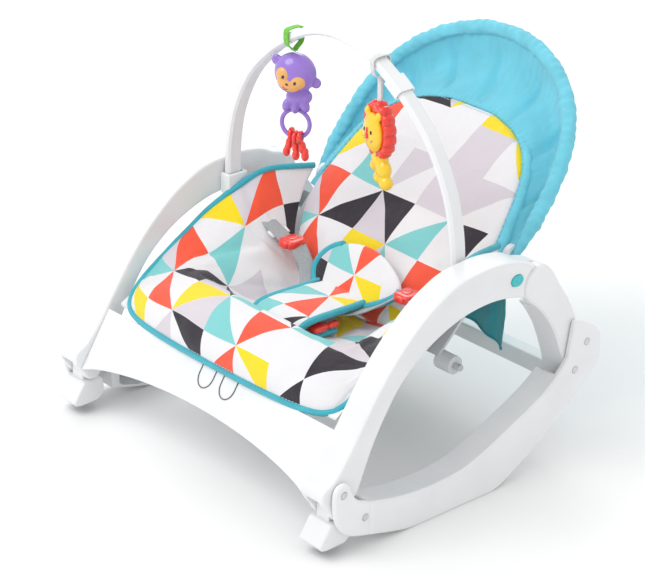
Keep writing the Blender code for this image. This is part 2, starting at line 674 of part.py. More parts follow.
def strap_loop(name, x, drop, width, look):
    """A flat loop of ribbon round the toy bar, meeting below it."""
    top = bar_height(x)
    over = [(0.0130, 0.0030), (0.0118, -0.0104), (0.0045, -0.0150), (0.0012, -0.0178), (0.0012, -drop)]
    ring = [(-0.0116, 0.0082), (0.0, 0.0096), (0.0116, 0.0082)] + over + [(-y, z) for y, z in over[::-1]]
    half = [(0.0104, 0.0070), (0.0116, 0.0026), (0.0106, -0.0098), (0.0036, -0.0138)]
    inner = [(0.0, 0.0082)] + half + [(0.0, -0.0156)] + [(-y, z) for y, z in half[::-1]]
    obj = prism(name, [(BAR_Y + a, top + b) for a, b in ring], x - width / 2, x + width / 2,
                (x, BAR_Y, top + 0.008), look)
    cut = prism("cut", [(BAR_Y + a, top + b) for a, b in inner], x - width, x + width, (x, BAR_Y, top),
                look, True)
    boolean(obj, cut, "DIFFERENCE")
    return top


left_top = strap_loop("rattle_strap", TOY_L_X, 0.0200, 0.0080, (GREEN, 0.6))
right_top = strap_loop("lion_strap", TOY_R_X, 0.0500, 0.0060, (WHITE, 0.6))

# Rattle: a round-headed animal holding a ring with three beads.
HEAD = Vector((TOY_L_X + 0.002, BAR_Y, left_top - 0.0460))
PIVOT_L = (TOY_L_X, BAR_Y, left_top + 0.008)
body = ball("rattle_body", HEAD, (0.0270, 0.0180, 0.0250), (PURPLE, 0.25), PIVOT_L, 10, 14)
for centre, radii in (((-0.0290, 0.0, 0.0060), (0.0085, 0.0050, 0.0085)),
                      ((0.0290, 0.0, 0.0060), (0.0085, 0.0050, 0.0085)),
                      ((0.0, 0.0, -0.0310), (0.0160, 0.0110, 0.0130)),
                      ((-0.0150, -0.002, -0.0380), (0.0075, 0.0080, 0.0075)),
                      ((0.0150, -0.002, -0.0380), (0.0075, 0.0080, 0.0075)),
                      ((-0.0050, -0.002, -0.0430), (0.0060, 0.0075, 0.0080)),
                      ((0.0060, -0.002, -0.0430), (0.0060, 0.0075, 0.0080))):
    boolean(body, ball("limb", HEAD + Vector(centre), radii, (PURPLE,), None, 7, 10), "UNION")
RING = HEAD + Vector((0.0, 0.0, -0.0620))
ring_path = [RING + Vector((0.0170 * math.cos(a), 0.0, 0.0170 * math.sin(a)))
             for a in [2 * math.pi * i / 24 for i in range(24)]]
eye_path = circle((RING.x, RING.z), 0.0170, 24)
tunnel = sweep("tunnel", [Vector((x, BAR_Y, z)) for x, z in eye_path], round_section(0.0036, 10),
               tuple(RING), (PURPLE,), True)
boolean(body, tunnel, "DIFFERENCE")
body = bpy.data.objects["rattle_body"]
boolean(body, box("cut", (HEAD.x - 0.0135, BAR_Y - 0.0010, HEAD.z + 0.0200),
                  (HEAD.x + 0.0060, BAR_Y + 0.0010, HEAD.z + 0.0400), (PURPLE,), cutter=True), "DIFFERENCE")
sweep("rattle_ring", ring_path, round_section(0.0024, 8), tuple(RING + Vector((0, 0, 0.0170))),
      (PURPLE, 0.3), True)
for i, angle in enumerate((-118, -90, -62)):
    a = math.radians(angle)
    c = RING + Vector((0.0170 * math.cos(a), 0.0, 0.0170 * math.sin(a)))
    low = Vector((0.0050 * (i - 1), 0.0, -0.0150))
    bead = ball("rattle_bead_%d" % (i + 1), c, (0.0036, 0.0068, 0.0068), (RED, 0.3), tuple(c), 7, 10)
    boolean(bead, ball("drop", c + low * 0.8, (0.0034, 0.0050, 0.0105), (RED,), None, 6, 8), "UNION")
    run = Vector((-math.sin(a), 0.0, math.cos(a)))
    bore = sweep("bore", [c - run * 0.02, c + run * 0.02], round_section(0.0034, 10), tuple(c), (RED,))
    boolean(bead, bore, "DIFFERENCE")

# Lion: a scalloped mane with a face and a body below it.
FACE = Vector((TOY_R_X, BAR_Y, right_top - 0.0780))
PIVOT_R = (TOY_R_X, BAR_Y, right_top + 0.008)


def disc_y(name, outline, y0, y1, origin, look, cutter=False):
    """An outline in (x, z) extruded along Y."""
    bm = bmesh.new()
    one = [bm.verts.new((p[0], y0, p[1])) for p in outline]
    two = [bm.verts.new((p[0], y1, p[1])) for p in outline]
    bm.faces.new(one)
    bm.faces.new(two[::-1])
    for i in range(len(outline)):
        k = (i + 1) % len(outline)
        bm.faces.new((one[i], two[i], two[k], one[k]))
    return place(name, bm, origin, look, cutter)


scallops = []
for i in range(70):
    a = 2 * math.pi * i / 70
    radius = 1.0 + 0.060 * abs(math.sin(7 * a))
    scallops.append((FACE.x + 0.0250 * radius * math.cos(a), FACE.z + 0.0290 * radius * math.sin(a)))
mane = disc_y("lion_mane", scallops, BAR_Y - 0.0060, BAR_Y + 0.0060, PIVOT_R, (RED, 0.3))
bevel(mane, 0.0030, 1, 40)
boolean(mane, box("cut", (FACE.x - 0.0038, BAR_Y - 0.0028, FACE.z + 0.0200),
                  (FACE.x + 0.0038, BAR_Y + 0.0028, FACE.z + 0.0400),
                  (RED,), cutter=True), "DIFFERENCE")
lion = ball("lion_body", FACE + Vector((0.0, -0.0105, -0.0010)), (0.0190, 0.0100, 0.0225), (YELLOW, 0.3),
            PIVOT_R, 10, 14)
boolean(lion, box("cut", (FACE.x - 0.04, BAR_Y - 0.0063, FACE.z - 0.05),
                  (FACE.x + 0.04, BAR_Y + 0.03, FACE.z + 0.04), (YELLOW,),
                  cutter=True), "DIFFERENCE")
legs = ball("legs", FACE + Vector((0.004, -0.0020, -0.0440)), (0.0120, 0.0110, 0.0150), (YELLOW,), None, 10,
            14)
for centre, radii in (((-0.0080, 0.0, -0.0500), (0.0075, 0.0090, 0.0075)),
                      ((0.0160, 0.0, -0.0540), (0.0095, 0.0090, 0.0085)),
                      ((0.0020, 0.0, -0.0600), (0.0080, 0.0090, 0.0075)),
                      ((0.0, -0.0105, -0.0270), (0.0120, 0.0070, 0.0130))):
    boolean(legs, ball("paw", FACE + Vector(centre), radii, (YELLOW,), None, 7, 10), "UNION")
mane_room = disc_y("cut", [(FACE.x + (x - FACE.x) * 1.03, FACE.z + (z - FACE.z) * 1.03) for x,
                           z in scallops],
                   BAR_Y - 0.0063, BAR_Y + 0.0063, tuple(FACE), (YELLOW,), True)
boolean(legs, mane_room, "DIFFERENCE")
boolean(lion, legs, "UNION")

# Restraint: a crotch pad, two straps from the seat's sides, and buckles.
def restraint_face(u, v):
    """Upper face of the crotch pad, from its rolled front end back to the backrest."""
    y = 0.1360 + 0.1120 * v
    half = 0.0400 + 0.0040 * v
    roll = math.sin(0.5 * math.pi * min(1.0, v / 0.15))
    return (u * half, y, 0.1580 + 0.0080 * roll * (1 - u * u) ** 0.5 + 0.0040 * v)


def restraint_back(u, v):
    return (0.0, 0.0, -0.0080 - 0.0040 * (1 - u * u))


slab("crotch_pad", 8, 10, restraint_face, restraint_back, (0.0, 0.136, 0.152), (PRINT, 0.85))

for tag, sign in (("R", 1), ("L", -1)):
    path = smooth([(sign * 0.1560, 0.2480, 0.2120), (sign * 0.1420, 0.2490, 0.2010),
                   (sign * 0.1260, 0.2500, 0.1920),
                   (sign * 0.1150, 0.2505, 0.1885)], 3)
    tape = [(-0.0007, -0.0100), (0.0007, -0.0100), (0.0007, 0.0100), (-0.0007, 0.0100)]
    sweep("waist_strap_" + tag, path, tape, tuple(path[0]), (GREY, 0.8))
    near, far = span(sign, 0.0880, 0.1135)
    buckle = box("buckle_" + tag, (near, 0.2380, 0.1850), (far, 0.2640, 0.1950), (RED, 0.35))
    bevel(buckle, 0.0025, 2, 50)

for piece in list(PARTS.objects) + list(CUTS.objects):
    piece.location.y -= MID_Y
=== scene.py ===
"""Looks of the rocking baby bouncer seat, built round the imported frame."""

import json
import math

import bmesh
import bpy
import numpy as np
from mathutils import Matrix, Vector, noise


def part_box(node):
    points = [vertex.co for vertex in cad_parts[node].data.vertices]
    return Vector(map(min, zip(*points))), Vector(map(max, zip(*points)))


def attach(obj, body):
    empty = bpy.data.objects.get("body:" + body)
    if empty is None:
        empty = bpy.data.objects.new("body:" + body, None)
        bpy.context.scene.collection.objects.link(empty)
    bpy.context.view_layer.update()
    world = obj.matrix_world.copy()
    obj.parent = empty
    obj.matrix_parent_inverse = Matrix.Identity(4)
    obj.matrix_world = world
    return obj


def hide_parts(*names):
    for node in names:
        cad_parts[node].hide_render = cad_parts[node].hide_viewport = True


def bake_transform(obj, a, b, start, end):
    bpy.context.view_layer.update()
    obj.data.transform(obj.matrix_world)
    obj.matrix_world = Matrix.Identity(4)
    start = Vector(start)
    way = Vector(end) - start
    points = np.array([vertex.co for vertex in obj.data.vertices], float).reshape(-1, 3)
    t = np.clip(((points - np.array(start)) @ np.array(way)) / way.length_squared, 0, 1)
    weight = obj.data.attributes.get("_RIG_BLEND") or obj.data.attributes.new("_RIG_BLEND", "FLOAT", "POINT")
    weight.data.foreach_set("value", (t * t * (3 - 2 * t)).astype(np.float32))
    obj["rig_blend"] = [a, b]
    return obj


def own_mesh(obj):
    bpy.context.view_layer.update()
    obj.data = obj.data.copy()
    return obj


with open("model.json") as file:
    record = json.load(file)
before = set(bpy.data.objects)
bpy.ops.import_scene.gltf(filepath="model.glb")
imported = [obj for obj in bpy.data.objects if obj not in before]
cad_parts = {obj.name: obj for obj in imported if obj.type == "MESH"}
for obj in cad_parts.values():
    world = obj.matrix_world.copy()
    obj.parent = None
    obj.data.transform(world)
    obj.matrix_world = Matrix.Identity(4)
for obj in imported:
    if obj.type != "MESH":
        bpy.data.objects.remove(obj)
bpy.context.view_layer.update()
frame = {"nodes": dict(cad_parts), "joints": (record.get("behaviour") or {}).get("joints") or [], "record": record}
NODES = frame["nodes"]
JOINTS = {joint["name"]: joint for joint in frame["joints"]}

# Shapes are drawn with y = 0 at the front edge of the feet; FRONT moves them into the row frame.
FOLD_Y = 0.322
FRONT = JOINTS["rocker_fold"]["pos_m"][1] - FOLD_Y
HINGE = np.array((0.0, 0.262, 0.125))  # backrest hinge
SLOPE = math.radians(48.0)  # backrest angle
RUN = np.array((0.0, math.cos(SLOPE), math.sin(SLOPE)))  # up the backrest
OUT = np.array((0.0, -math.sin(SLOPE), math.cos(SLOPE)))  # out of its face
HUB = np.array((0.0, 0.354, 0.233))  # hood hubs
HOOP_RUN = np.array((0.0, 0.625, 0.781)) / np.linalg.norm((0.625, 0.781))  # up the hoop

WHITE = (0.80, 0.81, 0.82)
TURQUOISE = (0.045, 0.47, 0.58)
AQUA = (0.17, 0.64, 0.79)
RED = (0.85, 0.035, 0.02)
YELLOW = (0.95, 0.60, 0.01)
PURPLE = (0.30, 0.17, 0.62)
TAN = (0.82, 0.42, 0.12)
GREEN = (0.16, 0.62, 0.03)
GREY = (0.42, 0.44, 0.46)
BLACK = (0.012, 0.010, 0.014)
PRINT = {
    "white": (0.87, 0.86, 0.88),
    "lilac": (0.71, 0.66, 0.71),
    "aqua": (0.22, 0.64, 0.64),
    "black": (0.018, 0.012, 0.022),
    "coral": (0.96, 0.09, 0.035),
    "yellow": (0.98, 0.74, 0.0),
}


# ---------------- curves and meshes


def pivot(joint):
    """A joint's place, in drawing coordinates."""
    return np.array(JOINTS[joint]["pos_m"]) - (0, FRONT, 0)


def noise3(x, y, z):
    return noise.noise(Vector((x, y, z)))


def spline(points, at, closed=False):
    """Catmull-Rom through points along their first axis, at the given places from 0 to len - 1."""
    pts = np.asarray(points, float)
    count = len(pts)
    at = np.asarray(at, float)
    low = np.floor(at).astype(int)
    low = low % count if closed else np.clip(low, 0, count - 2)
    t = (at - np.floor(at) if closed else at - low).reshape((-1,) + (1,) * (pts.ndim - 1))
    near = [low + k for k in (-1, 0, 1, 2)]
    a, b, c, d = [pts[k % count if closed else np.clip(k, 0, count - 1)] for k in near]
    return 0.5 * (2 * b + (c - a) * t + (2 * a - 5 * b + 4 * c - d) * t**2 + (3 * b - 3 * c + d - a) * t**3)


def through(points, count):
    """A smooth line of count points through the given ones."""
    return spline(points, np.linspace(0, len(points) - 1, count))


def both_sides(half):
    """A half line that ends in the middle, with its mirror image after it."""
    return half + [p * (-1, 1, 1) for p in half[-2::-1]]


def run_along(points):
    """Distance along the polyline at each of its points."""
    return np.concatenate([[0], np.cumsum(np.linalg.norm(np.diff(points, axis=0), axis=1))])


def even(points, count):
    """The polyline resampled at count even distances."""
    pts = np.asarray(points, float)
    run = run_along(pts)
    want = np.linspace(0, run[-1], count)
    return np.stack([np.interp(want, run, pts[:, k]) for k in range(3)], -1)


def length_of(points):
    return float(np.linalg.norm(np.diff(points, axis=0), axis=1).sum())


def make(name, verts, faces, look):
    """A mesh object from points in drawing coordinates."""
    mesh = bpy.data.meshes.new(name)
    pts = np.asarray(verts, float) + (0.0, FRONT, 0.0)
    mesh.from_pydata([tuple(p) for p in pts], [], [tuple(int(i) for i in f) for f in faces])
    bm = bmesh.new()
    bm.from_mesh(mesh)
    bmesh.ops.recalc_face_normals(bm, faces=bm.faces)
    bm.to_mesh(mesh)
    bm.free()
    obj = bpy.data.objects.new(name, mesh)
    bpy.context.scene.collection.objects.link(obj)
    mesh.materials.append(look)
    mesh.polygons.foreach_set("use_smooth", [True] * len(mesh.polygons))
    return obj


def ring_faces(first, second):
    """Faces between two closed rings."""
    after = [(k + 1) % len(first) for k in range(len(first))]
    return [(first[k], first[n], second[n], second[k]) for k, n in enumerate(after)]


def ring_of(index, count, base=0):
    start = base + index * count
    return list(range(start, start + count))


def stacked(rings, count, base=0):
    """Faces between neighbours of a stack of rings, each of count points."""
    faces = []
    for k in range(rings - 1):
        faces += ring_faces(ring_of(k, count, base), ring_of(k + 1, count, base))
    return faces


def tube_data(path, radius, sides=10, closed=False, up=(0.0, 0.0, 1.0)):
    """Points and faces of a tube; radius is a number or radius(i, angle)."""
    path = np.asarray(path, float)
    count = len(path)
    size = radius if callable(radius) else lambda i, a: radius
    if closed:
        runs = np.roll(path, -1, 0) - np.roll(path, 1, 0)
    else:
        runs = np.gradient(path, axis=0)
    runs /= np.linalg.norm(runs, axis=1)[:, None]
    side = np.cross(runs[0], up)
    if np.linalg.norm(side) < 1e-3:
        side = np.cross(runs[0], (1.0, 0.0, 0.0))
    verts = []
    for i in range(count):
        side = side - runs[i] * (side @ runs[i])
        side /= np.linalg.norm(side)
        over = np.cross(side, runs[i])
        for k in range(sides):
            a = 2 * math.pi * k / sides
            r = size(i, a)
            verts.append(path[i] + side * (r * math.cos(a)) + over * (r * math.sin(a)))
    faces = stacked(count, sides)
    first, last = ring_of(0, sides), ring_of(count - 1, sides)
    return verts, faces + (ring_faces(last, first) if closed else [first[::-1], last])


def tube(name, path, radius, look, **kw):
    return make(name, *tube_data(path, radius, **kw), look)


def join_data(*parts):
    verts, faces = [], []
    for v, f in parts:
        shift = len(verts)
        verts += [tuple(p) for p in v]
        faces += [tuple(i + shift for i in face) for face in f]
    return verts, faces


def slab_data(top, under):
    """A closed solid between two grids of points of the same size."""
    rows, cols = top.shape[:2]
    verts = np.concatenate([top.reshape(-1, 3), under.reshape(-1, 3)])
    index = np.arange(rows * cols).reshape(rows, cols)
    low = index + rows * cols
    faces = []
    for i in range(rows - 1):
        for j in range(cols - 1):
            faces.append((index[i, j], index[i, j + 1], index[i + 1, j + 1], index[i + 1, j]))
            faces.append((low[i, j], low[i + 1, j], low[i + 1, j + 1], low[i, j + 1]))
    edge = [*index[0, :-1], *index[:-1, -1], *index[-1, :0:-1], *index[:0:-1, 0]]
    edge_low = [i + rows * cols for i in edge]
    return verts, faces + ring_faces(edge, edge_low)


def blob_data(centre, radii, turn=0.0, rings=14, sides=20, power=2.0):
    """A superellipsoid ball, turned by an angle about Y."""
    verts = []
    c, s = math.cos(turn), math.sin(turn)

    def signed(value):
        return math.copysign(abs(value) ** (2.0 / power), value)

    for i in range(1, rings):
        lat = math.pi * i / rings - math.pi / 2
        for k in range(sides):
            lon = 2 * math.pi * k / sides
            x = radii[0] * signed(math.cos(lat)) * signed(math.cos(lon))
            y = radii[1] * signed(math.cos(lat)) * signed(math.sin(lon))
            z = radii[2] * signed(math.sin(lat))
            verts.append((centre[0] + x * c + z * s, centre[1] + y, centre[2] - x * s + z * c))
    for z in (-radii[2], radii[2]):
        verts.append((centre[0] + z * s, centre[1], centre[2] + z * c))
    faces = stacked(rings - 1, sides)
    base, top = (rings - 1) * sides, (rings - 2) * sides
    for k in range(sides):
        n = (k + 1) % sides
        faces += [(base, n, k), (base + 1, top + k, top + n)]
    return verts, faces


def merge(obj, voxel):
    """Overlapping closed bodies in one mesh made into one skin."""
    mod = obj.modifiers.new("skin", "REMESH")
    mod.mode = "VOXEL"
    mod.voxel_size = voxel
    mod.use_smooth_shade = True
    bake(obj)


def bake(obj):
    bpy.context.view_layer.update()
    graph = bpy.context.evaluated_depsgraph_get()
    mesh = bpy.data.meshes.new_from_object(obj.evaluated_get(graph))
    obj.modifiers.clear()
    obj.data = mesh


def relax(obj, times):
    mod = obj.modifiers.new("smooth", "SMOOTH")
    mod.factor = 0.5
    mod.iterations = times
    bake(obj)


def points_of(obj):
    co = np.empty(len(obj.data.vertices) * 3)
    obj.data.vertices.foreach_get("co", co)
    return co.reshape(-1, 3)


def set_points(obj, points):
    obj.data.vertices.foreach_set("co", np.asarray(points, float).ravel())
    obj.data.update()


def cloth_map(obj, values):
    """Stores each vertex's place on the flat cloth; a slab's two faces share one grid of them."""
    values = np.asarray(values, float).reshape(-1, 3)
    values = np.tile(values, (len(obj.data.vertices) // len(values), 1))
    made = obj.data.attributes.new("cloth", "FLOAT_VECTOR", "POINT")
    made.data.foreach_set("vector", values.ravel())


PUFF_FRAMES, PUFF_PRESSURE = 20, 4.0


def puff(obj, pin, cap):
    """Blows the closed cloth up by a short simulation; pin holds its edges, cap limits each move."""
    rest = points_of(obj)
    group = obj.vertex_groups.new(name="pin")
    for index in np.nonzero(pin > 0.01)[0]:
        group.add([int(index)], float(min(1.0, pin[index])), "REPLACE")
    mod = obj.modifiers.new("cloth", "CLOTH")
    cloth = mod.settings
    cloth.quality = 6
    cloth.mass = 0.25
    cloth.tension_stiffness = cloth.compression_stiffness = 12
    cloth.shear_stiffness = 4
    cloth.bending_stiffness = 0.3
    cloth.use_pressure = True
    cloth.uniform_pressure_force = PUFF_PRESSURE
    cloth.effector_weights.gravity = 0.0
    cloth.vertex_group_mass = "pin"
    mod.collision_settings.use_collision = False
    scene = bpy.context.scene
    scene.frame_start, scene.frame_end = 1, PUFF_FRAMES
    mod.point_cache.frame_start, mod.point_cache.frame_end = 1, PUFF_FRAMES
    for step in range(1, PUFF_FRAMES + 1):
        scene.frame_set(step)
    bake(obj)
    scene.frame_set(1)
    move = points_of(obj) - rest
    far = np.linalg.norm(move, axis=1)
    move *= np.minimum(1.0, cap / np.maximum(far, 1e-9))[:, None]
    set_points(obj, rest + move)
    obj.vertex_groups.clear()


def normals_of(obj):
    found = np.empty(len(obj.data.vertices) * 3)
    obj.data.vertex_normals.foreach_get("vector", found)
    return found.reshape(-1, 3)


# ---------------- materials


class Tree:
    """A material's node tree, with short calls for its nodes."""

    def __init__(self, name, rough=0.5, colour=None, **sockets):
        self.mat = bpy.data.materials.new(name)
        self.mat.use_nodes = True
        self.tree = self.mat.node_tree
        self.shader = self.tree.nodes["Principled BSDF"]
        self.shader.inputs["Roughness"].default_value = rough
        if colour:
            self.shader.inputs["Base Color"].default_value = (*colour, 1)
            self.mat.diffuse_color = (*colour, 1)
        for key, value in sockets.items():
            self.shader.inputs[key.replace("_", " ")].default_value = value

    def node(self, kind, out=0, **values):
        made = self.tree.nodes.new("ShaderNode" + kind)
        for key, value in values.items():
            if key.startswith("in"):
                socket = made.inputs[int(key[2:])]
                if isinstance(value, bpy.types.NodeSocket):
                    self.tree.links.new(value, socket)
                else:
                    socket.default_value = value
            else:
                setattr(made, key, value)
        return made.outputs[out]

    def math(self, operation, a, b=0.0, c=0.0):
        return self.node("Math", operation=operation, in0=a, in1=b, in2=c)

    def vmath(self, operation, a, b):
        return self.node("VectorMath", operation=operation, in0=a, in1=b)

    def scaled(self, vector, by):
        return self.vmath("MULTIPLY", vector, (by, by, by) if isinstance(by, (int, float)) else by)

    def noise(self, vector, scale, detail):
        return self.node("TexNoise", in0=vector, in2=scale, in3=detail)

    def cloth_place(self):
        return self.node("Attribute", attribute_name="cloth", out=1)

    def split(self, vector):
        made = self.tree.nodes.new("ShaderNodeSeparateXYZ")
        self.tree.links.new(vector, made.inputs[0])
        return made.outputs[0], made.outputs[1]

    def mix(self, share, a, b):
        made = self.tree.nodes.new("ShaderNodeMix")
        made.data_type = "RGBA"
        for socket, value in ((0, share), (6, a), (7, b)):
            self.tree.links.new(value, made.inputs[socket])
        return made.outputs[2]

    def steps(self, value, stops):
        """A ramp of flat colours: stops are (place, colour)."""
        made = self.tree.nodes.new("ShaderNodeValToRGB")
        ramp = made.color_ramp
        ramp.interpolation = "CONSTANT"
        while len(ramp.elements) < len(stops):
            ramp.elements.new(0.5)
        for element, (place, colour) in zip(ramp.elements, stops):
            element.position = place
            element.color = (*colour, 1)
        self.tree.links.new(value, made.inputs[0])
        return made.outputs[0]

    def range(self, value, low, high, to_low, to_high):
        return self.node("MapRange", in0=value, in1=low, in2=high, in3=to_low, in4=to_high)

    def set(self, socket, value):
        self.tree.links.new(value, self.shader.inputs[socket])

    def tone(self, colour, value):
        """Sets the base colour, made lighter or darker by value."""
        colour = (*colour, 1) if isinstance(colour, tuple) else colour
        made = self.node("HueSaturation", in0=0.5, in1=1.0, in2=value, in3=1.0, in4=colour)
        self.set("Base Color", made)

    def bump(self, *heights):
        """Heights are (socket, metres of height)."""
        last = None
        for height, distance in heights:
            made = self.tree.nodes.new("ShaderNodeBump")
            made.inputs["Distance"].default_value = distance
            self.tree.links.new(height, made.inputs["Height"])
            if last is not None:
                self.tree.links.new(last, made.inputs["Normal"])
            last = made.outputs[0]
        self.set("Normal", last)


def weave(tree, vector, pitch=0.0011):
    """Height of a plain weave: threads over and under each other."""
    turns = 2 * math.pi / pitch
    x, y = tree.split(vector)
    across = tree.math("SINE", tree.math("MULTIPLY", x, turns))
    along = tree.math("SINE", tree.math("MULTIPLY", y, turns))
    over = tree.math("MULTIPLY", across, along)
    return tree.math("MULTIPLY_ADD", over, 0.5, 0.5)


def triangles(tree, vector, size, shear, offset):
    """Colours of a print of triangles that meet at their points, over cells of the given size."""
    wander = tree.node("TexNoise", in0=vector, in2=9.0, in3=0.0, out=1)
    wander = tree.vmath("SUBTRACT", wander, (0.5, 0.5, 0.5))
    x, y = tree.split(tree.vmath("ADD", vector, tree.scaled(wander, 0.020)))
    x = tree.math("DIVIDE", tree.math("MULTIPLY_ADD", y, shear, x), size[0])
    y = tree.math("DIVIDE", y, size[1])
    x, y = tree.math("ADD", x, offset[0]), tree.math("ADD", y, offset[1])
    i, j = tree.math("FLOOR", x), tree.math("FLOOR", y)
    fx, fy = tree.math("SUBTRACT", x, i), tree.math("SUBTRACT", y, j)
    odd = tree.math("FLOORED_MODULO", tree.math("ADD", i, j), 2.0)
    rising = tree.math("GREATER_THAN", fx, fy)
    falling = tree.math("GREATER_THAN", tree.math("ADD", fx, fy), 1.0)
    rising = tree.math("MULTIPLY", rising, tree.math("SUBTRACT", 1.0, odd))
    side = tree.math("ADD", tree.math("MULTIPLY", falling, odd), rising)
    row = tree.math("FLOORED_MODULO", j, 2.0)
    bright = tree.math("FLOORED_MODULO", tree.math("ADD", side, row), 2.0)
    cell = tree.node("CombineXYZ", in0=i, in1=j, in2=side)
    pick = tree.node("TexWhiteNoise", noise_dimensions="3D", in0=cell)
    pale = tree.steps(pick, [(0.0, PRINT["white"]), (0.68, PRINT["lilac"])])
    strong = zip((0.0, 0.26, 0.41, 0.55, 0.68, 0.84), ("lilac", "aqua", "black", "coral", "yellow", "white"))
    strong = tree.steps(pick, [(start, PRINT[name]) for start, name in strong])
    return tree.mix(bright, pale, strong)


def printed_cloth(name, size, shear, offset):
    tree = Tree(name, 0.82, PRINT["white"], Sheen_Weight=0.25, Sheen_Roughness=0.5)
    place = tree.cloth_place()
    colour = triangles(tree, place, size, shear, offset)
    mottle = tree.range(tree.noise(place, 900.0, 2.0), 0.3, 0.7, 0.94, 1.04)
    tree.tone(colour, mottle)
    tree.bump((tree.noise(place, 34.0, 3.0), 0.0022), (weave(tree, place), 0.00022))
    return tree.mat


def plain_cloth(name, colour, pitch=0.0011, soft=0.0022, folds=30.0):
    tree = Tree(name, 0.78, colour, Sheen_Weight=0.3, Sheen_Roughness=0.45)
    place = tree.cloth_place()
    shade = tree.range(tree.noise(place, 24.0, 3.0), 0.25, 0.75, 0.90, 1.08)
    thread = tree.range(tree.noise(place, 1300.0, 1.0), 0.3, 0.7, 0.95, 1.05)
    tree.tone(colour, tree.math("MULTIPLY", shade, thread))
    tree.bump((tree.noise(place, folds, 3.0), soft), (weave(tree, place, pitch), 0.00022))
    return tree.mat


def moulded(name, colour, rough=0.36, grain=0.00006, coat=0.0):
    """Moulded plastic: a fine grain, faint sink marks, and edges rubbed a little lighter."""
    tree = Tree(name, rough, colour, Coat_Weight=coat, Coat_Roughness=0.12)
    place = tree.node("TexCoord", out=3)
    cloud = tree.range(tree.noise(place, 18.0, 3.0), 0.3, 0.7, 0.965, 1.02)
    edge = tree.range(tree.node("NewGeometry", out=7), 0.52, 0.62, 0.0, 0.06)
    tree.tone(colour, tree.math("ADD", cloud, edge))
    tree.set("Roughness", tree.range(tree.noise(place, 60.0, 4.0), 0.3, 0.7, rough - 0.06, rough + 0.08))
    tree.bump((tree.noise(place, 26.0, 2.0), 0.00035), (tree.noise(place, 900.0, 2.0), grain))
    return tree.mat


def brushed_steel(name):
    tree = Tree(name, 0.3, (0.62, 0.63, 0.64), Metallic=1.0)
    place = tree.node("TexCoord", out=3)
    lines = tree.noise(tree.scaled(place, (1.0, 14.0, 14.0)), 260.0, 3.0)
    tree.set("Roughness", tree.range(lines, 0.3, 0.7, 0.22, 0.42))
    tree.bump((lines, 0.00005))
    return tree.mat


RIB_PITCH = 0.0016


def tape_cloth(name, colour):
    """Woven tape: ribs across a dense weave."""
    tree = Tree(name, 0.7, colour, Sheen_Weight=0.3)
    place = tree.cloth_place()
    ribs = tree.node("TexWave", wave_type="BANDS", bands_direction="Y",
                     in0=place, in1=1.0 / RIB_PITCH / 3.0, in2=0.6, in3=1.0)
    shade = tree.range(tree.noise(place, 420.0, 2.0), 0.3, 0.7, 0.86, 1.10)
    tree.tone(colour, shade)
    tree.bump((ribs, 0.00030), (weave(tree, place, 0.0009), 0.00015))
    return tree.mat


SEAT_PRINT = printed_cloth("seat_print", (0.056, 0.052), 0.22, (0.42, 0.30))
BACK_PRINT = printed_cloth("back_print", (0.058, 0.060), -0.16, (0.15, 0.55))
WING_PRINT = printed_cloth("wing_print", (0.046, 0.050), 0.30, (0.62, 0.20))
HOOD_CLOTH = plain_cloth("hood_cloth", AQUA)
# Teal much darker than the hood cloth: painted shade for the cloth that hangs in shadow under and behind the
# backrest; the real cloth is the hood's turquoise.
SHADED_SKIRT_CLOTH = plain_cloth("skirt_cloth", (0.03, 0.40, 0.45))
BINDING = plain_cloth("binding_cloth", TURQUOISE, 0.0009, 0.0006, 90.0)
WEBBING = tape_cloth("webbing", GREY)
GREEN_TAPE = tape_cloth("green_tape", GREEN)
WHITE_TAPE = tape_cloth("white_tape", (0.80, 0.80, 0.80))
THREAD = plain_cloth("thread", (0.55, 0.80, 0.84), 0.0006, 0.0001, 200.0)
FRAME_PLASTIC = moulded("frame_plastic", WHITE)
# The shell is white plastic; this grey is painted shade for the shade it sits in round the pads.
SHADED_SHELL_PLASTIC = moulded("shell_plastic", (0.62, 0.64, 0.67), 0.45)
BUTTON_PLASTIC = moulded("button_plastic", (0.03, 0.50, 0.52), 0.3, coat=0.3)
RED_PLASTIC = moulded("red_plastic", RED, 0.24, 0.00002, 0.6)
YELLOW_PLASTIC = moulded("yellow_plastic", YELLOW, 0.24, 0.00002, 0.6)
PURPLE_PLASTIC = moulded("purple_plastic", PURPLE, 0.22, 0.00002, 0.6)
TAN_PLASTIC = moulded("tan_plastic", TAN, 0.26, 0.00002, 0.5)
BLACK_PLASTIC = moulded("black_plastic", BLACK, 0.2, 0.00002, 0.6)
# Near black: painted shade for the inside of gaps in the plastic.
GAP_SHADE = moulded("dark_gap", (0.10, 0.10, 0.11), 0.6)
RUBBER = moulded("grip_rubber", (0.09, 0.10, 0.11), 0.75, 0.0002)
STEEL = brushed_steel("steel")


# ---------------- seat cover

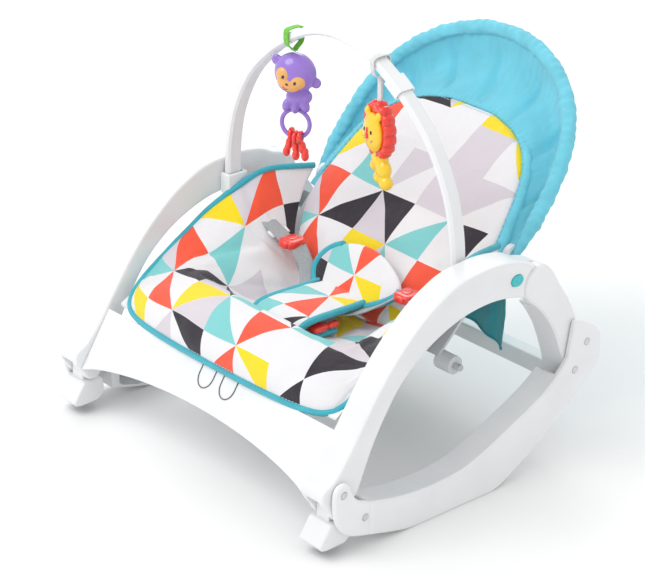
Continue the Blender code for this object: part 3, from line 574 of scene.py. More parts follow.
# Half of the cover, from its front edge to its rear edge, and from its middle out to its side.
COVER = np.array([
    [(0, .0505, .1290), (.055, .0510, .1290), (.100, .0525, .1293),
     (.140, .0560, .1300), (.168, .0620, .1325), (.182, .0700, .1370)],
    [(0, .0520, .1480), (.056, .0525, .1480), (.103, .0550, .1470),
     (.145, .0600, .1460), (.174, .0680, .1450), (.1885, .0790, .1440)],
    [(0, .0640, .1680), (.057, .0645, .1675), (.105, .0670, .1660),
     (.148, .0720, .1620), (.178, .0810, .1570), (.1915, .0900, .1515)],
    [(0, .0860, .1800), (.058, .0865, .1795), (.106, .0880, .1770),
     (.150, .0920, .1730), (.180, .0980, .1680), (.1930, .1040, .1610)],
    [(0, .1110, .1790), (.057, .1115, .1785), (.105, .1120, .1775),
     (.150, .1150, .1770), (.181, .1190, .1770), (.1935, .1220, .1720)],
    [(0, .1340, .1590), (.056, .1340, .1595), (.102, .1350, .1640),
     (.148, .1390, .1800), (.180, .1430, .1910), (.1935, .1460, .1870)],
    [(0, .1560, .1390), (.054, .1560, .1400), (.098, .1580, .1480),
     (.143, .1630, .1780), (.178, .1690, .2050), (.1930, .1720, .2025)],
    [(0, .1820, .1300), (.052, .1820, .1320), (.093, .1850, .1430),
     (.137, .1920, .1810), (.175, .1990, .2190), (.1910, .2020, .2210)],
    [(0, .2100, .1290), (.050, .2100, .1310), (.090, .2150, .1440),
     (.131, .2250, .1870), (.169, .2350, .2330), (.1815, .2380, .2420)],
    [(0, .2320, .1320), (.049, .2320, .1340), (.090, .2380, .1490),
     (.129, .2520, .1900), (.161, .2700, .2390), (.1750, .2760, .2540)],
    [(0, .2480, .1360), (.050, .2490, .1390), (.094, .2560, .1520),
     (.128, .2780, .1840), (.150, .3080, .2200), (.1590, .3360, .2480)],
])
# The seat shell's floor: y, and its height there; SHELL_SIDE is its rim's start, height and rise.
SHELL_FLOOR = (
    (0.060, 0.080, 0.110, 0.150, 0.190, 0.240),
    (0.1330, 0.1290, 0.1080, 0.0960, 0.0940, 0.1000),
)
SHELL_SIDE = (0.0600, 0.1330, 0.5450)
COVER_COLS, COVER_ROWS = 120, 96
DEEPEST, SHALLOWEST = 0.030, 0.004  # the cover's thickness


def cover_grid():
    mirrored = COVER[:, :0:-1] * (-1.0, 1.0, 1.0)
    net = np.concatenate([mirrored, COVER], axis=1)
    rows = through(net, COVER_ROWS + 1)
    return through(rows.transpose(1, 0, 2), COVER_COLS + 1).transpose(1, 0, 2)


def arc_map(grid):
    """Distance across from the middle column, and mostly along the middle column, of each point."""
    middle = grid.shape[1] // 2
    step = np.linalg.norm(np.diff(grid, axis=1), axis=2)
    across = np.concatenate([np.zeros((len(grid), 1)), np.cumsum(step, axis=1)], axis=1)
    across -= across[:, middle : middle + 1]
    step = np.linalg.norm(np.diff(grid, axis=0), axis=2)
    along = np.concatenate([np.zeros((1, grid.shape[1])), np.cumsum(step, axis=0)], axis=0)
    own = 0.45  # share of each column's own length
    along = along * own + along[:, middle : middle + 1] * (1 - own)
    return np.stack([across, along, np.zeros_like(across)], -1)


def build_cover():
    top = cover_grid()
    u = np.abs(np.linspace(-1, 1, COVER_COLS + 1))[None, :]
    v = np.linspace(0, 1, COVER_ROWS + 1)[:, None]
    floor = np.interp(top[..., 1], *SHELL_FLOOR)
    side = SHELL_SIDE[1] + (top[..., 1] - SHELL_SIDE[0]) * SHELL_SIDE[2]
    share = np.clip(np.abs(top[..., 0]) / 0.188, 0, 1)
    shell = floor + (side - floor) * share**3.5 + 0.0035
    edge = np.minimum(1.0, np.minimum((1 - u) * 7.0, v * 9.0)) ** 0.5
    depth = np.clip(top[..., 2] - shell, SHALLOWEST, DEEPEST)
    depth = np.where(top[..., 1] > 0.2300, np.minimum(depth, 0.009), depth)
    depth = 0.0032 + (depth - 0.0032) * edge
    facing = np.cross(np.gradient(top, axis=1), np.gradient(top, axis=0))
    facing /= np.linalg.norm(facing, axis=2)[..., None]
    straight = np.clip((0.60 - np.abs(facing[..., 2:3])) / 0.5, 0, 1)
    down = -np.array((0.0, 0.0, 1.0)) * (1 - straight) - facing * straight
    under = top + down * depth[..., None]
    obj = make("seat_cover", *slab_data(top, under), SEAT_PRINT)
    cloth_map(obj, arc_map(top))
    hold = np.clip(1.2 - np.minimum(np.minimum((1 - u) * 14, v * 16), (1 - v) * 12), 0, 1)
    puff(obj, np.concatenate([hold.ravel()] * 2), 0.007)
    free = np.concatenate([(1 - hold).ravel()] * 2)
    pts, normals = points_of(obj), normals_of(obj)
    amount = np.empty(len(pts))
    for index, p in enumerate(pts):
        q = Vector((p[0] * 9.0, p[1] * 22.0, p[2] * 16.0))
        fine = noise.noise(Vector(p) * 46.0 + Vector((7, 3, 1)))
        amount[index] = (noise.noise(q) * 0.0022 + fine * 0.0011) * free[index]
    set_points(obj, pts + normals * amount[:, None])
    return obj, top


cover, cover_top = build_cover()
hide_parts("seat_pad")


def follow_back(obj):
    """The seat cover's rear end gives way with the backrest."""
    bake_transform(obj, "frame", "backrest", start=(0.0, 0.215 + FRONT, 0.15), end=(0.0, 0.330 + FRONT, 0.15))


follow_back(cover)


def with_twill(obj, path):
    """Gives a tube's cloth coordinates: round it and along it."""
    count = len(path)
    sides = len(obj.data.vertices) // count
    along = run_along(path)
    cloth_map(obj, [(k * 0.0022 + along[i], along[i], 0) for i in range(count) for k in range(sides)])


def rope(name, path, radius, look, sides=12, ripple=0.05):
    """A cloth-covered tube with small lumps along it."""

    def size(i, a):
        return radius * (1 + ripple * noise3(i * 0.55, math.cos(a), math.sin(a) + radius * 999))

    obj = tube(name, path, size, look, sides=sides)
    with_twill(obj, np.asarray(path))
    return obj


edge = np.concatenate([cover_top[:0:-1, 0], cover_top[0, :-1], cover_top[:, -1]])
edge = even(edge, 300)
piping = rope("seat_piping", edge, 0.0037, BINDING)
follow_back(piping)


STITCH_PITCH, STITCH_LENGTH, STITCH_RADIUS = 0.0050, 0.0032, 0.00042


def stitches(name, obj, indices):
    """A row of separate stitches lying on obj, through its vertices of the given indices."""
    on = points_of(obj)[indices] + normals_of(obj)[indices] * 0.0002 - (0, FRONT, 0)
    count = int(length_of(on) / STITCH_PITCH)
    fine = even(on, count * 5)
    parts = []
    for k in range(count - 1):
        a, b = fine[k * 5], fine[k * 5 + 3]
        run = (b - a) / np.linalg.norm(b - a) * STITCH_LENGTH
        parts.append(tube_data([a, a + run * 0.5, a + run], STITCH_RADIUS, sides=6))
    made = make(name, *join_data(*parts), THREAD)
    cloth_map(made, points_of(made))
    return made


inset = 3  # rows and columns from the edge to the stitched seam
width = COVER_COLS + 1
seam = [i * width + inset for i in range(COVER_ROWS, inset - 1, -1)]
seam += [inset * width + j for j in range(inset + 1, width - inset)]
seam += [i * width + COVER_COLS - inset for i in range(inset + 1, COVER_ROWS + 1)]
follow_back(stitches("seat_stitches", cover, seam))


# ---------------- backrest pad

# Distance up the backrest, and the pad's half width there.
BACK_OUTLINE = np.array([
    (.0000, .1120), (.0300, .1200), (.0600, .1340), (.0900, .1460), (.1200, .1500), (.1500, .1460),
    (.1800, .1400), (.2150, .1310), (.2400, .1180), (.2600, .0990), (.2740, .0740), (.2830, .0420),
    (.2850, .0200),
])
BACK_LONG = 0.2850
BACK_ROWS, BACK_COLS = 84, 80


def back_half(s):
    """The pad's half width at the distances s up the backrest."""
    at = np.interp(s, BACK_OUTLINE[:, 0], np.arange(len(BACK_OUTLINE)))
    return spline(BACK_OUTLINE[:, 1:], at).ravel()


def on_back(x, s, lift):
    """The point at x across, s up the backrest and lift out of its face, following its dish."""
    x, s, lift = np.broadcast_arrays(x, s, lift)
    dish = 0.0120 * (np.abs(x) / 0.15) ** 2.5
    return HINGE + RUN * s[..., None] + OUT * (lift + dish)[..., None] + np.stack([x, 0 * x, 0 * x], -1)


def build_back_pad():
    v = np.linspace(0, 1, BACK_ROWS + 1)
    s = BACK_LONG * (1 - (1 - v) ** 1.25)
    u = np.linspace(-1, 1, BACK_COLS + 1)
    x = back_half(s)[:, None] * u[None, :]
    near = np.minimum(1.0, np.minimum((1 - np.abs(u))[None, :] * 9, ((1 - v) * 12)[:, None])) ** 0.5
    puffed = 0.0065 + 0.0115 * near * (0.75 + 0.25 * np.cos(u * 1.2))[None, :]
    top = on_back(x, s[:, None], puffed)
    under = on_back(x, s[:, None], np.full_like(x, 0.0020))
    obj = make("backrest_cover", *slab_data(top, under), BACK_PRINT)
    place = np.stack([x, np.broadcast_to(s[:, None], x.shape), np.zeros_like(x)], -1)
    cloth_map(obj, place)
    hold = np.clip(1.2 - np.minimum((1 - np.abs(u))[None, :] * 12, ((1 - v) * 14)[:, None]), 0, 1)
    puff(obj, np.concatenate([hold.ravel(), np.ones(hold.size)]), 0.006)
    pts, normals = points_of(obj), normals_of(obj)
    amount = np.zeros(len(pts))
    free = (1 - hold).ravel()
    flat = place.reshape(-1, 3)
    for index in range(len(free)):
        p = flat[index]
        drag = noise3(p[0] * 8 + p[1] * 12, p[1] * 26 - p[0] * 9, 3.0) * 0.0026
        fine = noise3(p[0] * 40, p[1] * 44, 9.0) * 0.0010
        amount[index] = (drag + fine) * free[index]
    set_points(obj, pts + normals * amount[:, None])
    return obj


back_pad = build_back_pad()
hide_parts("backrest_pad")
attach(back_pad, "backrest")
head_row = (BACK_ROWS - 3) * (BACK_COLS + 1)
back_stitches = stitches("back_stitches", back_pad, [head_row + j for j in range(2, BACK_COLS - 1)])
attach(back_stitches, "backrest")


# The gathered seam round the head end, over the shell's edge.
seam_half = [on_back(half + 0.0035, s, 0.0012) for s, half in BACK_OUTLINE if s >= 0.12]
seam_half.append(on_back(0.0, 0.2890, 0.0012))
seam_line = even(through(both_sides(seam_half), 300), 330)
seam_rope = rope("head_seam", seam_line, 0.0070, HOOD_CLOTH, sides=14, ripple=0.14)
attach(seam_rope, "backrest")


# ---------------- hood

# Half the hoop: how far out, and how far up from the hubs.
HOOP = [(.1690, .0), (.1698, .0300), (.1700, .0650), (.1680, .0950), (.1625, .1250), (.1520, .1530),
        (.1340, .1810), (.1060, .2070), (.0730, .2255), (.0370, .2370), (.0, .2410)]
hoop_half = [HUB + np.array((x, 0, 0)) + HOOP_RUN * s for x, s in HOOP]
HOOP_LINE = even(through(both_sides(hoop_half), 400), 401)


PLEAT = 0.0125  # metres from one pleat to the next


def gather(place, phase):
    """A pleated wave, from -1 to 1, along a line at a place in metres."""
    wander = 0.006 * noise3(place * 30, phase, 0.5)
    height = 0.6 + 0.4 * noise3(place * 55, phase, 4.0)
    return math.sin(2 * math.pi * (place + wander) / PLEAT + phase) * height


def build_rim():
    total = length_of(HOOP_LINE)
    count = 420
    path = even(HOOP_LINE, count)

    def size(i, a):
        place = total * i / (count - 1)
        ends = min(1.0, 0.45 + 9.0 * min(i, count - 1 - i) / count)
        lump = 0.16 * noise3(place * 60, math.cos(a) * 1.3, math.sin(a) * 1.3)
        pleat = 0.10 * gather(place + 0.004 * math.sin(a), 1.0 + math.cos(a))
        return 0.0088 * ends * (1 + lump + pleat)

    obj = tube("hood_rim", path, size, HOOD_CLOTH, sides=22, up=tuple(np.cross(HOOP_RUN, (1, 0, 0))))
    with_twill(obj, path)
    return obj


def settle(obj, body, replaces=()):
    """Hides the nodes that obj stands for, and puts obj on the body it rides."""
    if replaces:
        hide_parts(*replaces)
    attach(obj, body)


settle(build_rim(), "canopy", ["hood_hoop"])

LINING_ROWS, LINING_COLS = 36, 300
# Deeper folds of the hood: place along the rim, width and depth.
DRAPES = ((0.075, 0.008, 0.004), (0.165, 0.011, 0.007), (0.250, 0.008, 0.005), (0.330, 0.012, 0.008),
          (0.405, 0.007, 0.006), (0.470, 0.010, 0.007), (0.545, 0.008, 0.005))


def lining_grid():
    """From the backrest pad's edge (row 0) out to the rim (last row)."""
    start, lift = 0.132, 0.0080
    half_line = [on_back(0.1500, start, lift)]
    half_line += [on_back(half, s, lift) for s, half in BACK_OUTLINE if s > start]
    half_line += [on_back(0.0, 0.2855, lift)]
    inner = even(through(both_sides(half_line), 400), LINING_COLS + 1)
    outer = even(HOOP_LINE, LINING_COLS + 1)
    toward = inner - outer
    toward /= np.linalg.norm(toward, axis=1)[:, None]
    outer = outer + toward * 0.0050
    grid = np.empty((LINING_ROWS + 1, LINING_COLS + 1, 3))
    total = length_of(outer)
    for j in range(LINING_COLS + 1):
        place = total * j / LINING_COLS
        mid = 1 - abs(2 * j / LINING_COLS - 1)
        belly = 0.020 * min(1.0, mid * 2.2)
        for i in range(LINING_ROWS + 1):
            t = i / LINING_ROWS
            p = inner[j] * (1 - t) + outer[j] * t
            bow = math.sin(math.pi * t**1.25)
            near_rim = t**2.2
            near_pad = (1 - t) ** 6
            broad = noise3(place * 13, t * 1.3, 2.0)
            drape = sum(math.exp(-(((place - at - 0.02 * t) / wide) ** 2)) * deep
                        for at, wide, deep in DRAPES)
            fold = (0.0045 * broad - drape) * math.sin(math.pi * min(1.0, t * 1.05))
            pleat = 0.0016 * gather(place, 0.0) * near_rim * math.sin(math.pi * min(0.98, t)) ** 0.3
            puffed = 0.0014 * gather(place * 1.35, 2.0) * near_pad
            grid[i, j] = p + OUT * (fold + pleat + puffed - belly * bow)
    return grid


def thicken(grid, thickness):
    facing = np.cross(np.gradient(grid, axis=1), np.gradient(grid, axis=0))
    facing /= np.linalg.norm(facing, axis=2)[..., None]
    return grid - facing * thickness


CLOTH_THICK = 0.0012


def cloth_sheet(name, grid, thickness, look):
    obj = make(name, *slab_data(grid, thicken(grid, thickness)), look)
    cloth_map(obj, arc_map(grid))
    return obj


lining_at = lining_grid()
lining = cloth_sheet("hood_lining", lining_at, CLOTH_THICK, HOOD_CLOTH)
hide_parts("hood")
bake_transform(lining, "backrest", "canopy", start=(0.0, 0.45 + FRONT, 0.33), end=(0.0, 0.50 + FRONT, 0.41))
# The lining follows the backrest at its inner edge and the hoop at its rim, all the way round.
share = np.linspace(0, 1, LINING_ROWS + 1)
share = np.repeat(share * share * (3 - 2 * share), LINING_COLS + 1)
blend = lining.data.attributes["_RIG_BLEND"].data
blend.foreach_set("value", np.concatenate([share, share]).astype(np.float32))


# ---------------- back cover and skirt


def build_back_cover():
    """Fabric over the back of the backrest shell."""
    rows, cols = 60, 60
    v = np.linspace(0, 1, rows + 1)
    s = 0.0200 + 0.2810 * v
    half = 0.0075 + back_half(np.minimum(s, BACK_LONG))
    u = np.linspace(-1, 1, cols + 1)
    x = half[:, None] * u[None, :]
    bulge = 0.0040 * (1 - u[None, :] ** 2) * np.sin(np.pi * v)[:, None]
    top = on_back(x, s[:, None], -0.0090 - bulge)
    for i in range(rows + 1):
        for j in range(cols + 1):
            q = Vector((x[i, j] * 9, s[i] * 16, 5.0))
            top[i, j] -= OUT * (0.0016 * (1 + noise.noise(q)) + 0.0010 * noise.noise(q * 4.0))
    # Its darker teal is painted shade, not the cloth's own colour.
    return cloth_sheet("back_cover", top, -CLOTH_THICK, SHADED_SKIRT_CLOTH)


back_cover = build_back_cover()
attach(back_cover, "backrest")

# The skirt's upper and lower edge as (y, z), and its half width.
SKIRT_TOP, SKIRT_LOW, SKIRT_HALF = (0.3720, 0.2440), (0.3730, 0.1180), 0.1560


def build_skirt():
    """Gathered cloth hanging from the backrest behind the seat."""
    rows, cols = 40, 150
    grid = np.empty((rows + 1, cols + 1, 3))
    for i in range(rows + 1):
        t = i / rows
        for j in range(cols + 1):
            x = SKIRT_HALF * (2 * j / cols - 1)
            wave = math.sin(x * 95.0 + 2.0 * noise3(x * 9.0, t, 1.0))
            wave *= 0.0030 * (0.35 + 0.65 * t)
            fine = 0.0012 * noise3(x * 60.0, t * 9.0, 3.0)
            curve = 0.0060 * math.sin(math.pi * t)
            bend = 0.0260 * (abs(x) / SKIRT_HALF) ** 4
            y = SKIRT_TOP[0] + (SKIRT_LOW[0] - SKIRT_TOP[0]) * t + curve + wave + fine - bend
            z = SKIRT_TOP[1] + (SKIRT_LOW[1] - SKIRT_TOP[1]) * t
            grid[i, j] = (x, y, z - 0.0050 * t * (x / SKIRT_HALF) ** 2)
    return grid


skirt_at = build_skirt()
# The skirt and its hem use the cloth darkened with painted shade.
skirt = cloth_sheet("rear_skirt", skirt_at, CLOTH_THICK, SHADED_SKIRT_CLOTH)
hem = rope("skirt_hem", skirt_at[-1] + (0, -0.0006, 0), 0.0017, SHADED_SKIRT_CLOTH, sides=8)
for piece in (skirt, hem):
    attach(piece, "backrest")
    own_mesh(piece)


# ---------------- restraint

CROTCH_HALF = 0.0400
# The crotch pad's middle line from the backrest to its front, then down and back under itself.
CROTCH_LINE = even(through([
    (0, .2520, .1640), (0, .2300, .1640), (0, .2000, .1650), (0, .1700, .1660), (0, .1500, .1640),
    (0, .1400, .1570), (0, .1420, .1490), (0, .1540, .1460), (0, .1750, .1450), (0, .1950, .1440),
], 120), 90)


def padded_strip(line, half, puff_by, thickness, cols=28):
    """A padded strip along a line in the YZ plane: its outer and inner faces."""
    runs = np.gradient(line, axis=0)
    runs /= np.linalg.norm(runs, axis=1)[:, None]
    outward = np.cross(runs, (1.0, 0.0, 0.0))
    if outward[0][2] < 0:
        outward = -outward
    u = np.linspace(-1, 1, cols + 1)
    top = np.empty((len(line), cols + 1, 3))
    low = np.empty_like(top)
    for i, point in enumerate(line):
        for j, share in enumerate(u):
            crown = (1 - abs(share) ** 3) ** 0.6 if abs(share) < 1 else 0.0
            lump = 0.0012 * noise3(share * 2.5, i * 0.09, half * 90) * crown
            base = point + np.array((share * half, 0, 0))
            thin = thickness / 2 * 0.5
            top[i, j] = base + outward[i] * (thin + (puff_by + thin) * crown + lump)
            low[i, j] = base - outward[i] * (thickness / 2 * (0.5 + 0.5 * crown))
    return top, low


def build_crotch():
    top, low = padded_strip(CROTCH_LINE, CROTCH_HALF, 0.0015, 0.0060)
    obj = make("crotch_cover", *slab_data(top, low), WING_PRINT)
    cloth_map(obj, arc_map(top))
    return obj


crotch = build_crotch()
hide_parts("crotch_pad")
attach(crotch, "crotch")
for tag, sign in (("R", 1), ("L", -1)):
    binding = rope("crotch_binding_" + tag, CROTCH_LINE + (sign * CROTCH_HALF, 0, 0), 0.0042, BINDING)
    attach(binding, "crotch")

# The wing round the waist, as (across, up the backrest), and how far it stands out of it.
WING_OUTLINE = np.array([
    (-.045, .060), (-.058, .035), (-.045, .012), (-.010, .002), (.030, .006), (.062, .022),
    (.080, .040), (.070, .055), (.030, .072), (-.010, .074),
])
WING_LIFT = 0.0400


def build_wing():
    ring = spline(WING_OUTLINE, np.linspace(0, len(WING_OUTLINE), 97)[:-1], closed=True)
    middle = ring.mean(0)
    levels = np.linspace(0.04, 1.0, 14)
    verts, flat = [], []

    def at(p, height):
        return on_back(p[0], p[1], WING_LIFT + height + 0.0100 * (p[1] / 0.07) * 0.2)

    for face in (1, -1):
        for level in levels:
            for p in ring:
                q = middle + (p - middle) * level
                crown = (1 - level**4) ** 0.5
                lump = 0.0010 * noise3(q[0] * 40, q[1] * 40, face)
                verts.append(at(q, face * 0.0042 * crown + face * 0.0010 + lump * crown))
                flat.append((q[0], q[1], 0))
    count = len(ring)
    faces = []
    for side in (0, 1):
        base = side * count * len(levels)
        faces += stacked(len(levels), count, base) + [ring_of(0, count, base)]
    faces += ring_faces(ring_of(len(levels) - 1, count), ring_of(2 * len(levels) - 1, count))
    obj = make("waist_wing", verts, faces, WING_PRINT)
    cloth_map(obj, flat)
    lower = [at(p, 0.0) for p in spline(WING_OUTLINE, np.linspace(-0.35, 6.3, 70), closed=True)]
    edge = rope("wing_binding", np.array(lower), 0.0046, BINDING)
    return obj, edge


wing, wing_edge = build_wing()
for piece in (wing, wing_edge):
    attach(piece, "crotch")


def band(name, line, width, thickness, look, wide=(1.0, 0.0, 0.0)):
    """A flat strap along a line, as wide as width along wide."""
    line = even(np.asarray(line, float), 40)
    runs = np.gradient(line, axis=0)
    runs /= np.linalg.norm(runs, axis=1)[:, None]
    side = np.asarray(wide, float)[None, :] - runs * (runs @ np.asarray(wide, float))[:, None]
    side /= np.linalg.norm(side, axis=1)[:, None]
    over = np.cross(side, runs)
    u = np.linspace(-0.5, 0.5, 9)
    top = line[:, None, :] + side[:, None, :] * (u * width)[None, :, None]
    top = top + over[:, None, :] * thickness / 2
    low = top - over[:, None, :] * thickness
    obj = make(name, *slab_data(top, low), look)
    along = np.linspace(0, length_of(line), len(line))
    cloth_map(obj, np.stack(np.broadcast_arrays(u[None, :] * width, along[:, None], 0.0), -1))
    return obj


def tape_line(*points):
    return through(np.array(points), 30)


def node_centre(name):
    low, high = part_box(name)
    return np.array((low + high) / 2) - (0, FRONT, 0)


def build_adjuster(name, at, sign):
    """A tri-glide: two bars across the tape and two cheeks that join them."""
    def bar(start, end, radius):
        return tube_data(np.array([at + start, at + end]), radius, sides=8)

    near, wide = sign * 0.0075, 0.0125
    parts = [bar((0, -wide, 0), (0, wide, 0), 0.0016)]
    parts += [bar((near, -wide, 0.0036), (near, wide, 0.0036), 0.0016)]
    parts += [bar((-sign * 0.0010, side * 0.0120, 0), (sign * 0.0085, side * 0.0120, 0.0038), 0.0018)
              for side in (-1, 1)]
    return make(name, *join_data(*parts), FRAME_PLASTIC)


BUCKLES = {}
for tag, sign, long_tag in (("R", 1, "right"), ("L", -1, "left")):
    body = "strap_" + long_tag
    centre = node_centre("buckle_" + tag)
    parts = [blob_data(centre, (0.0128, 0.0130, 0.0056), power=5.0)]
    parts += [blob_data(centre + (sign * 0.0010, side * 0.0128, 0.0), (0.0075, 0.0032, 0.0042), power=3.0)
              for side in (-1, 1)]
    parts += [blob_data(centre + (0, 0, 0.0052), (0.0052, 0.0068, 0.0014), power=3.0)]
    buckle = make("side_buckle_" + tag, *join_data(*parts), RED_PLASTIC)
    settle(buckle, body, ["buckle_" + tag])
    end = pivot("strap_swing_" + long_tag)
    line = tape_line(end + (sign * 0.006, 0.004, 0.006), end, (end + centre) / 2 + (0, 0, -0.0030),
                     centre + (sign * 0.0100, 0, 0))
    tape = band("waist_tape_" + tag, line, 0.0200, 0.0015, WEBBING, wide=(0.0, 1.0, 0.0))
    settle(tape, body, ["waist_strap_" + tag])
    settle(build_adjuster("strap_adjuster_" + tag, centre + (sign * 0.0210, 0, 0.0036), sign), body)
    BUCKLES[tag] = centre

# Webbing from under the crotch pad to each buckle.
for tag, sign in (("R", 1), ("L", -1)):
    line = tape_line((sign * 0.0300, .2150, .1560), (sign * 0.0480, .2300, .1600),
                     (sign * 0.0660, .2440, .1710), BUCKLES[tag] + (-sign * 0.0110, 0, -0.001))
    tape = band("pad_tape_" + tag, line, 0.0200, 0.0015, WEBBING, wide=(-0.35 * sign, 1.0, 0.0))
    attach(tape, "crotch")
clasp = make("crotch_clasp", *join_data(
    blob_data((0.0380, .1720, .1530), (0.0090, 0.0120, 0.0040), power=3.0),
    blob_data((0.0420, .1900, .1530), (0.0050, 0.0080, 0.0034), power=3.0)), RED_PLASTIC)
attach(clasp, "crotch")


# ---------------- toys

TURN = math.radians(30.0)  # the toys hang turned a little from straight ahead


class Toy:
    """Rounded pieces round a centre, rolled about the face's axis and turned about the vertical."""

    def __init__(self, centre, roll=0.0, turn=TURN):
        self.centre = np.asarray(centre, float)
        self.turn = np.array(Matrix.Rotation(turn, 3, "Z") @ Matrix.Rotation(roll, 3, "Y"))

    def put(self, points):
        return self.centre + np.asarray(points, float) @ self.turn.T

    def blob(self, centre, radii, roll=0.0, power=2.0, rings=14, sides=20):
        verts, faces = blob_data(centre, radii, roll, rings, sides, power)
        return self.put(verts), faces

    def tube(self, path, radius, **kw):
        verts, faces = tube_data(path, radius, **kw)
        return self.put(verts), faces


def toy_piece(name, look, body, parts, skin=0.0, replaces=()):
    obj = make(name, *join_data(*parts), look)
    if skin:
        merge(obj, skin)
        relax(obj, 3)
    settle(obj, body, replaces)


def loop_tape(name, node, look):
    """Ribbon in the shape of the loop node: round the bar and down to the toy."""
    low, high = (np.array(c) - (0, FRONT, 0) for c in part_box(node))
    x, y = (low[0] + high[0]) / 2, (low[1] + high[1]) / 2
    top = high[2] - 0.0012
    half = [(0.0, top), (0.0105, top - 0.0012), (0.0122, top - 0.0072), (0.0108, top - 0.0185),
            (0.0040, top - 0.0245), (0.0011, top - 0.0275), (0.0010, low[2] + 0.0003)]
    line = [(x, y - a, z) for a, z in half[::-1]] + [(x, y + a, z) for a, z in half[1:]]
    settle(band(name, through(line, 90), high[0] - low[0], 0.0011, look), "toy_bar", [node])


loop_tape("rattle_ribbon", "rattle_strap", GREEN_TAPE)
loop_tape("lion_ribbon", "lion_strap", WHITE_TAPE)

ring_pivot = pivot("ring_swing")
RING_R = 0.0170
ring_centre = ring_pivot - (0, 0, RING_R)
head = ring_centre + (0, 0, 0.0620)
monkey = Toy(head, roll=math.radians(24.0))
plain = Toy(head)
toy_piece("rattle_head", PURPLE_PLASTIC, "rattle", [
    monkey.blob((0, 0, 0), (0.0250, 0.0190, 0.0240), rings=20, sides=28),
    monkey.blob((-0.0265, 0.002, 0.0020), (0.0062, 0.0036, 0.0066)),
    monkey.blob((0.0265, 0.002, 0.0000), (0.0062, 0.0036, 0.0066)),
    monkey.blob((0.0, -0.0075, -0.0125), (0.0150, 0.0120, 0.0098)),
    plain.blob((0.0020, 0.0, -0.0290), (0.0135, 0.0100, 0.0115)),
    plain.blob((0.0135, -0.001, -0.0275), (0.0070, 0.0070, 0.0080)),
    plain.blob((-0.0095, -0.003, -0.0395), (0.0056, 0.0062, 0.0082), roll=0.25),
    plain.blob((0.0010, -0.004, -0.0405), (0.0052, 0.0062, 0.0080)),
    plain.blob((0.0120, -0.003, -0.0380), (0.0056, 0.0062, 0.0084), roll=-0.45),
], skin=0.0010, replaces=("rattle_body",))
toy_piece("rattle_face", TAN_PLASTIC, "rattle", [
    monkey.blob((-0.0085, -0.0130, -0.0025), (0.0100, 0.0072, 0.0098)),
    monkey.blob((0.0085, -0.0130, -0.0025), (0.0100, 0.0072, 0.0098)),
    monkey.blob((0.0, -0.0132, -0.0105), (0.0140, 0.0080, 0.0082)),
], skin=0.0008)
toy_piece("rattle_features", BLACK_PLASTIC, "rattle", [
    monkey.blob((-0.0078, -0.0199, -0.0030), (0.0017, 0.0012, 0.0023)),
    monkey.blob((0.0078, -0.0199, -0.0030), (0.0017, 0.0012, 0.0023)),
    monkey.blob((0.0, -0.0209, -0.0085), (0.0018, 0.0010, 0.0012)),
])
mouth = [(0.0040 * math.sin(a), -0.0212 + 0.0008 * abs(a), -0.0130 - 0.0016 * math.cos(a * 1.4))
         for a in np.linspace(-1.1, 1.1, 12)]
toy_piece("rattle_mouth", RED_PLASTIC, "rattle", [monkey.tube(mouth, 0.0005, sides=6)])

ring_toy = Toy(ring_centre)
turns = np.linspace(0, 2 * math.pi, 73)[:-1]
circle = [(RING_R * math.cos(a), 0, RING_R * math.sin(a)) for a in turns]
toy_piece("rattle_hoop", PURPLE_PLASTIC, "ring", [ring_toy.tube(circle, 0.0026, sides=14, closed=True)],
          replaces=("rattle_ring",))
for number in (1, 2, 3):
    swing = Toy(pivot("bead_swing_%d" % number))
    lean = 0.0045 * (number - 2)
    eye = [(0.0, 0.0056 * math.cos(a), 0.0056 * math.sin(a)) for a in turns[::3]]
    toy_piece("bead_shape_%d" % number, RED_PLASTIC, "bead_%d" % number, [
        swing.tube(eye, 0.0028, sides=12, closed=True),
        swing.blob((lean * 0.6, 0, -0.0125), (0.0042, 0.0054, 0.0078)),
        swing.blob((lean * 1.3, 0, -0.0225), (0.0046, 0.0056, 0.0064)),
        swing.blob((lean * 1.3 + 0.0012, -0.001, -0.0170), (0.0034, 0.0044, 0.0048)),
    ], skin=0.0007, replaces=("rattle_bead_%d" % number,))

lion = Toy(pivot("lion_swing") - (0, 0, 0.0280), turn=math.radians(-14.0))
LOBES, ROUND = 15, 180
# The mane's rings from front to back: y, and their share of its full size.
MANE = ((-0.0070, 0.80), (-0.0078, 0.90), (-0.0060, 0.98), (-0.0020, 1.02), (0.0030, 1.02),
        (0.0066, 0.97), (0.0080, 0.86))
verts = []
for y, grow in MANE:
    for k in range(ROUND):
        a = 2 * math.pi * k / ROUND
        lobe = 0.93 + 0.115 * abs(math.sin(LOBES * a / 2)) ** 0.7
        verts.append((0.0270 * grow * lobe * math.cos(a), y, 0.0325 * grow * lobe * math.sin(a)))
faces = stacked(len(MANE), ROUND) + [ring_of(0, ROUND)[::-1], ring_of(len(MANE) - 1, ROUND)]
toy_piece("lion_ruff", RED_PLASTIC, "lion", [(lion.put(verts), faces)],
          replaces=("lion_mane",))
toy_piece("lion_shape", YELLOW_PLASTIC, "lion", [
    lion.blob((0, -0.0085, -0.0020), (0.0190, 0.0078, 0.0230), rings=18, sides=28),
    lion.blob((-0.0125, -0.0085, 0.0200), (0.0048, 0.0036, 0.0052)),
    lion.blob((0.0125, -0.0085, 0.0200), (0.0048, 0.0036, 0.0052)),
    lion.blob((0.0010, 0.0, -0.0350), (0.0125, 0.0090, 0.0150)),
    lion.blob((0.0100, 0.0, -0.0450), (0.0105, 0.0086, 0.0115)),
    lion.blob((-0.0070, 0.0, -0.0440), (0.0070, 0.0080, 0.0080)),
    lion.blob((0.0020, 0.0, -0.0560), (0.0085, 0.0080, 0.0078)),
    lion.blob((0.0150, 0.0, -0.0590), (0.0095, 0.0080, 0.0085)),
], skin=0.0010, replaces=("lion_body",))
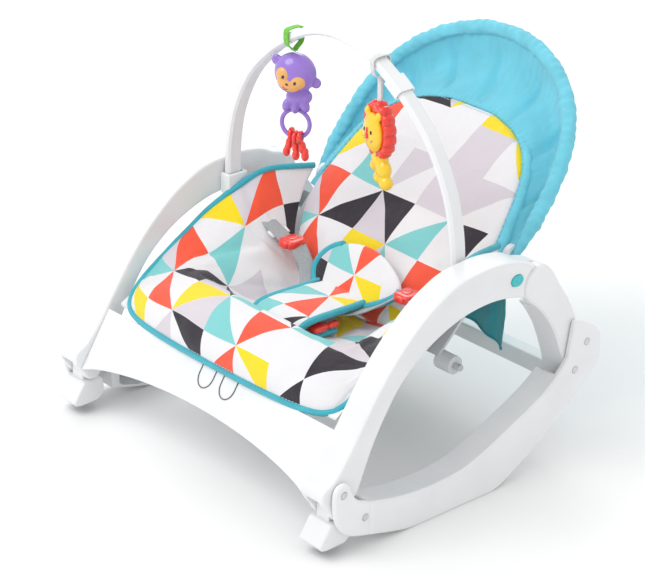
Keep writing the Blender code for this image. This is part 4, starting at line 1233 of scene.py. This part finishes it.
toy_piece("lion_eyes", BLACK_PLASTIC, "lion", [
    lion.blob((-0.0075, -0.0155, 0.0010), (0.0018, 0.0012, 0.0024)),
    lion.blob((0.0075, -0.0155, 0.0010), (0.0018, 0.0012, 0.0024)),
    *[lion.blob((x, -0.0158, z), (0.0005, 0.0006, 0.0005))
      for x, z in ((0.0080, -0.0100), (0.0100, -0.0078), (-0.0080, -0.0100), (-0.0100, -0.0078))],
])
toy_piece("lion_nose", RED_PLASTIC, "lion", [
    lion.blob((0.0, -0.0168, -0.0045), (0.0030, 0.0014, 0.0038)),
    lion.blob((0.0, -0.0166, 0.0010), (0.0014, 0.0012, 0.0050)),
])


# ---------------- plain parts


def panel_groove_shade(name, x):
    """A thin dark tube on the front panel: painted shade for a shallow U-shaped gap."""
    half, top, low = 0.0120, 0.1262, 0.1040
    line = [(x - half, top), (x - half, low + half)]
    line += [(x - half * math.cos(a), low + half - half * math.sin(a))
             for a in np.linspace(0.1, math.pi - 0.1, 14)]
    line += [(x + half, low + half), (x + half, top)]
    # The panel leans back 0.66 for each unit up; the line stands half a millimetre out of it.
    path = [np.array((px, 0.0260 + 0.66 * (pz - 0.087), pz)) + (0, -0.0004, 0.0003) for px, pz in line]
    obj = tube(name, even(np.array(path), 60), 0.00062, GAP_SHADE, sides=8)
    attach(obj, "frame")


panel_groove_shade("panel_mark_a", -0.0080)
panel_groove_shade("panel_mark_b", 0.0300)

# Parts on the grey_plastic slot get the shell plastic darkened with painted shade.
LOOKS = {
    "steel": STEEL, "webbing": WEBBING, "green_ribbon": GREEN_TAPE, "white_ribbon": WHITE_TAPE,
    "red_plastic": RED_PLASTIC, "yellow_plastic": YELLOW_PLASTIC, "purple_plastic": PURPLE_PLASTIC,
    "teal_plastic": BUTTON_PLASTIC, "grip_rubber": RUBBER, "grey_plastic": SHADED_SHELL_PLASTIC,
    "white_plastic": FRAME_PLASTIC, "printed_cloth": SEAT_PRINT, "teal_cloth": HOOD_CLOTH,
}
for row in frame["record"]["subparts"]:
    node = NODES[row["node"]]
    node.data.materials.clear()
    node.data.materials.append(LOOKS[row["material_slot"]])


# ---------------- stage, light and camera

TARGET = Vector((0.0, 0.2111 + FRONT, 0.1749))
AZIMUTH, PITCH, DISTANCE = math.radians(49.04), math.radians(24.95), 3.0
LENS, SENSOR = 145.2, 36.0

bpy.ops.mesh.primitive_plane_add(size=6.0, location=(0, 0, 0))
floor = bpy.context.object
floor.name = "stage_floor"
floor.data.materials.append(Tree("floor", 0.9, (0.92, 0.92, 0.92)).mat)

world = bpy.data.worlds.new("studio")
bpy.context.scene.world = world
world.use_nodes = True
sky = world.node_tree.nodes["Background"].inputs
sky["Color"].default_value = (1, 1, 1, 1)
sky["Strength"].default_value = 0.92


def lamp(name, place, aim, size, power):
    light = bpy.data.lights.new(name, "AREA")
    light.shape = "DISK"
    light.size = size
    light.energy = power
    obj = bpy.data.objects.new(name, light)
    obj.location = place
    obj.rotation_mode = "QUATERNION"
    obj.rotation_quaternion = (Vector(aim) - Vector(place)).to_track_quat("-Z", "Y")
    bpy.context.scene.collection.objects.link(obj)


lamp("key", (-0.6, -1.6, 2.4), (0, 0, 0.2), 1.8, 26)
lamp("rim_light", (-1.6, 1.6, 1.8), (0, 0, 0.2), 1.4, 14)

camera = bpy.data.objects.new("camera", bpy.data.cameras.new("camera"))
away = math.cos(PITCH)
back = Vector((math.sin(AZIMUTH) * away, -math.cos(AZIMUTH) * away, math.sin(PITCH)))
camera.location = TARGET + back * DISTANCE
camera.rotation_mode = "QUATERNION"
camera.rotation_quaternion = (-back).to_track_quat("-Z", "Y")
camera.data.lens = LENS
camera.data.sensor_width = SENSOR
camera.data.clip_end = 30
bpy.context.scene.collection.objects.link(camera)
bpy.context.scene.camera = camera
bpy.context.scene.view_settings.view_transform = "Standard"
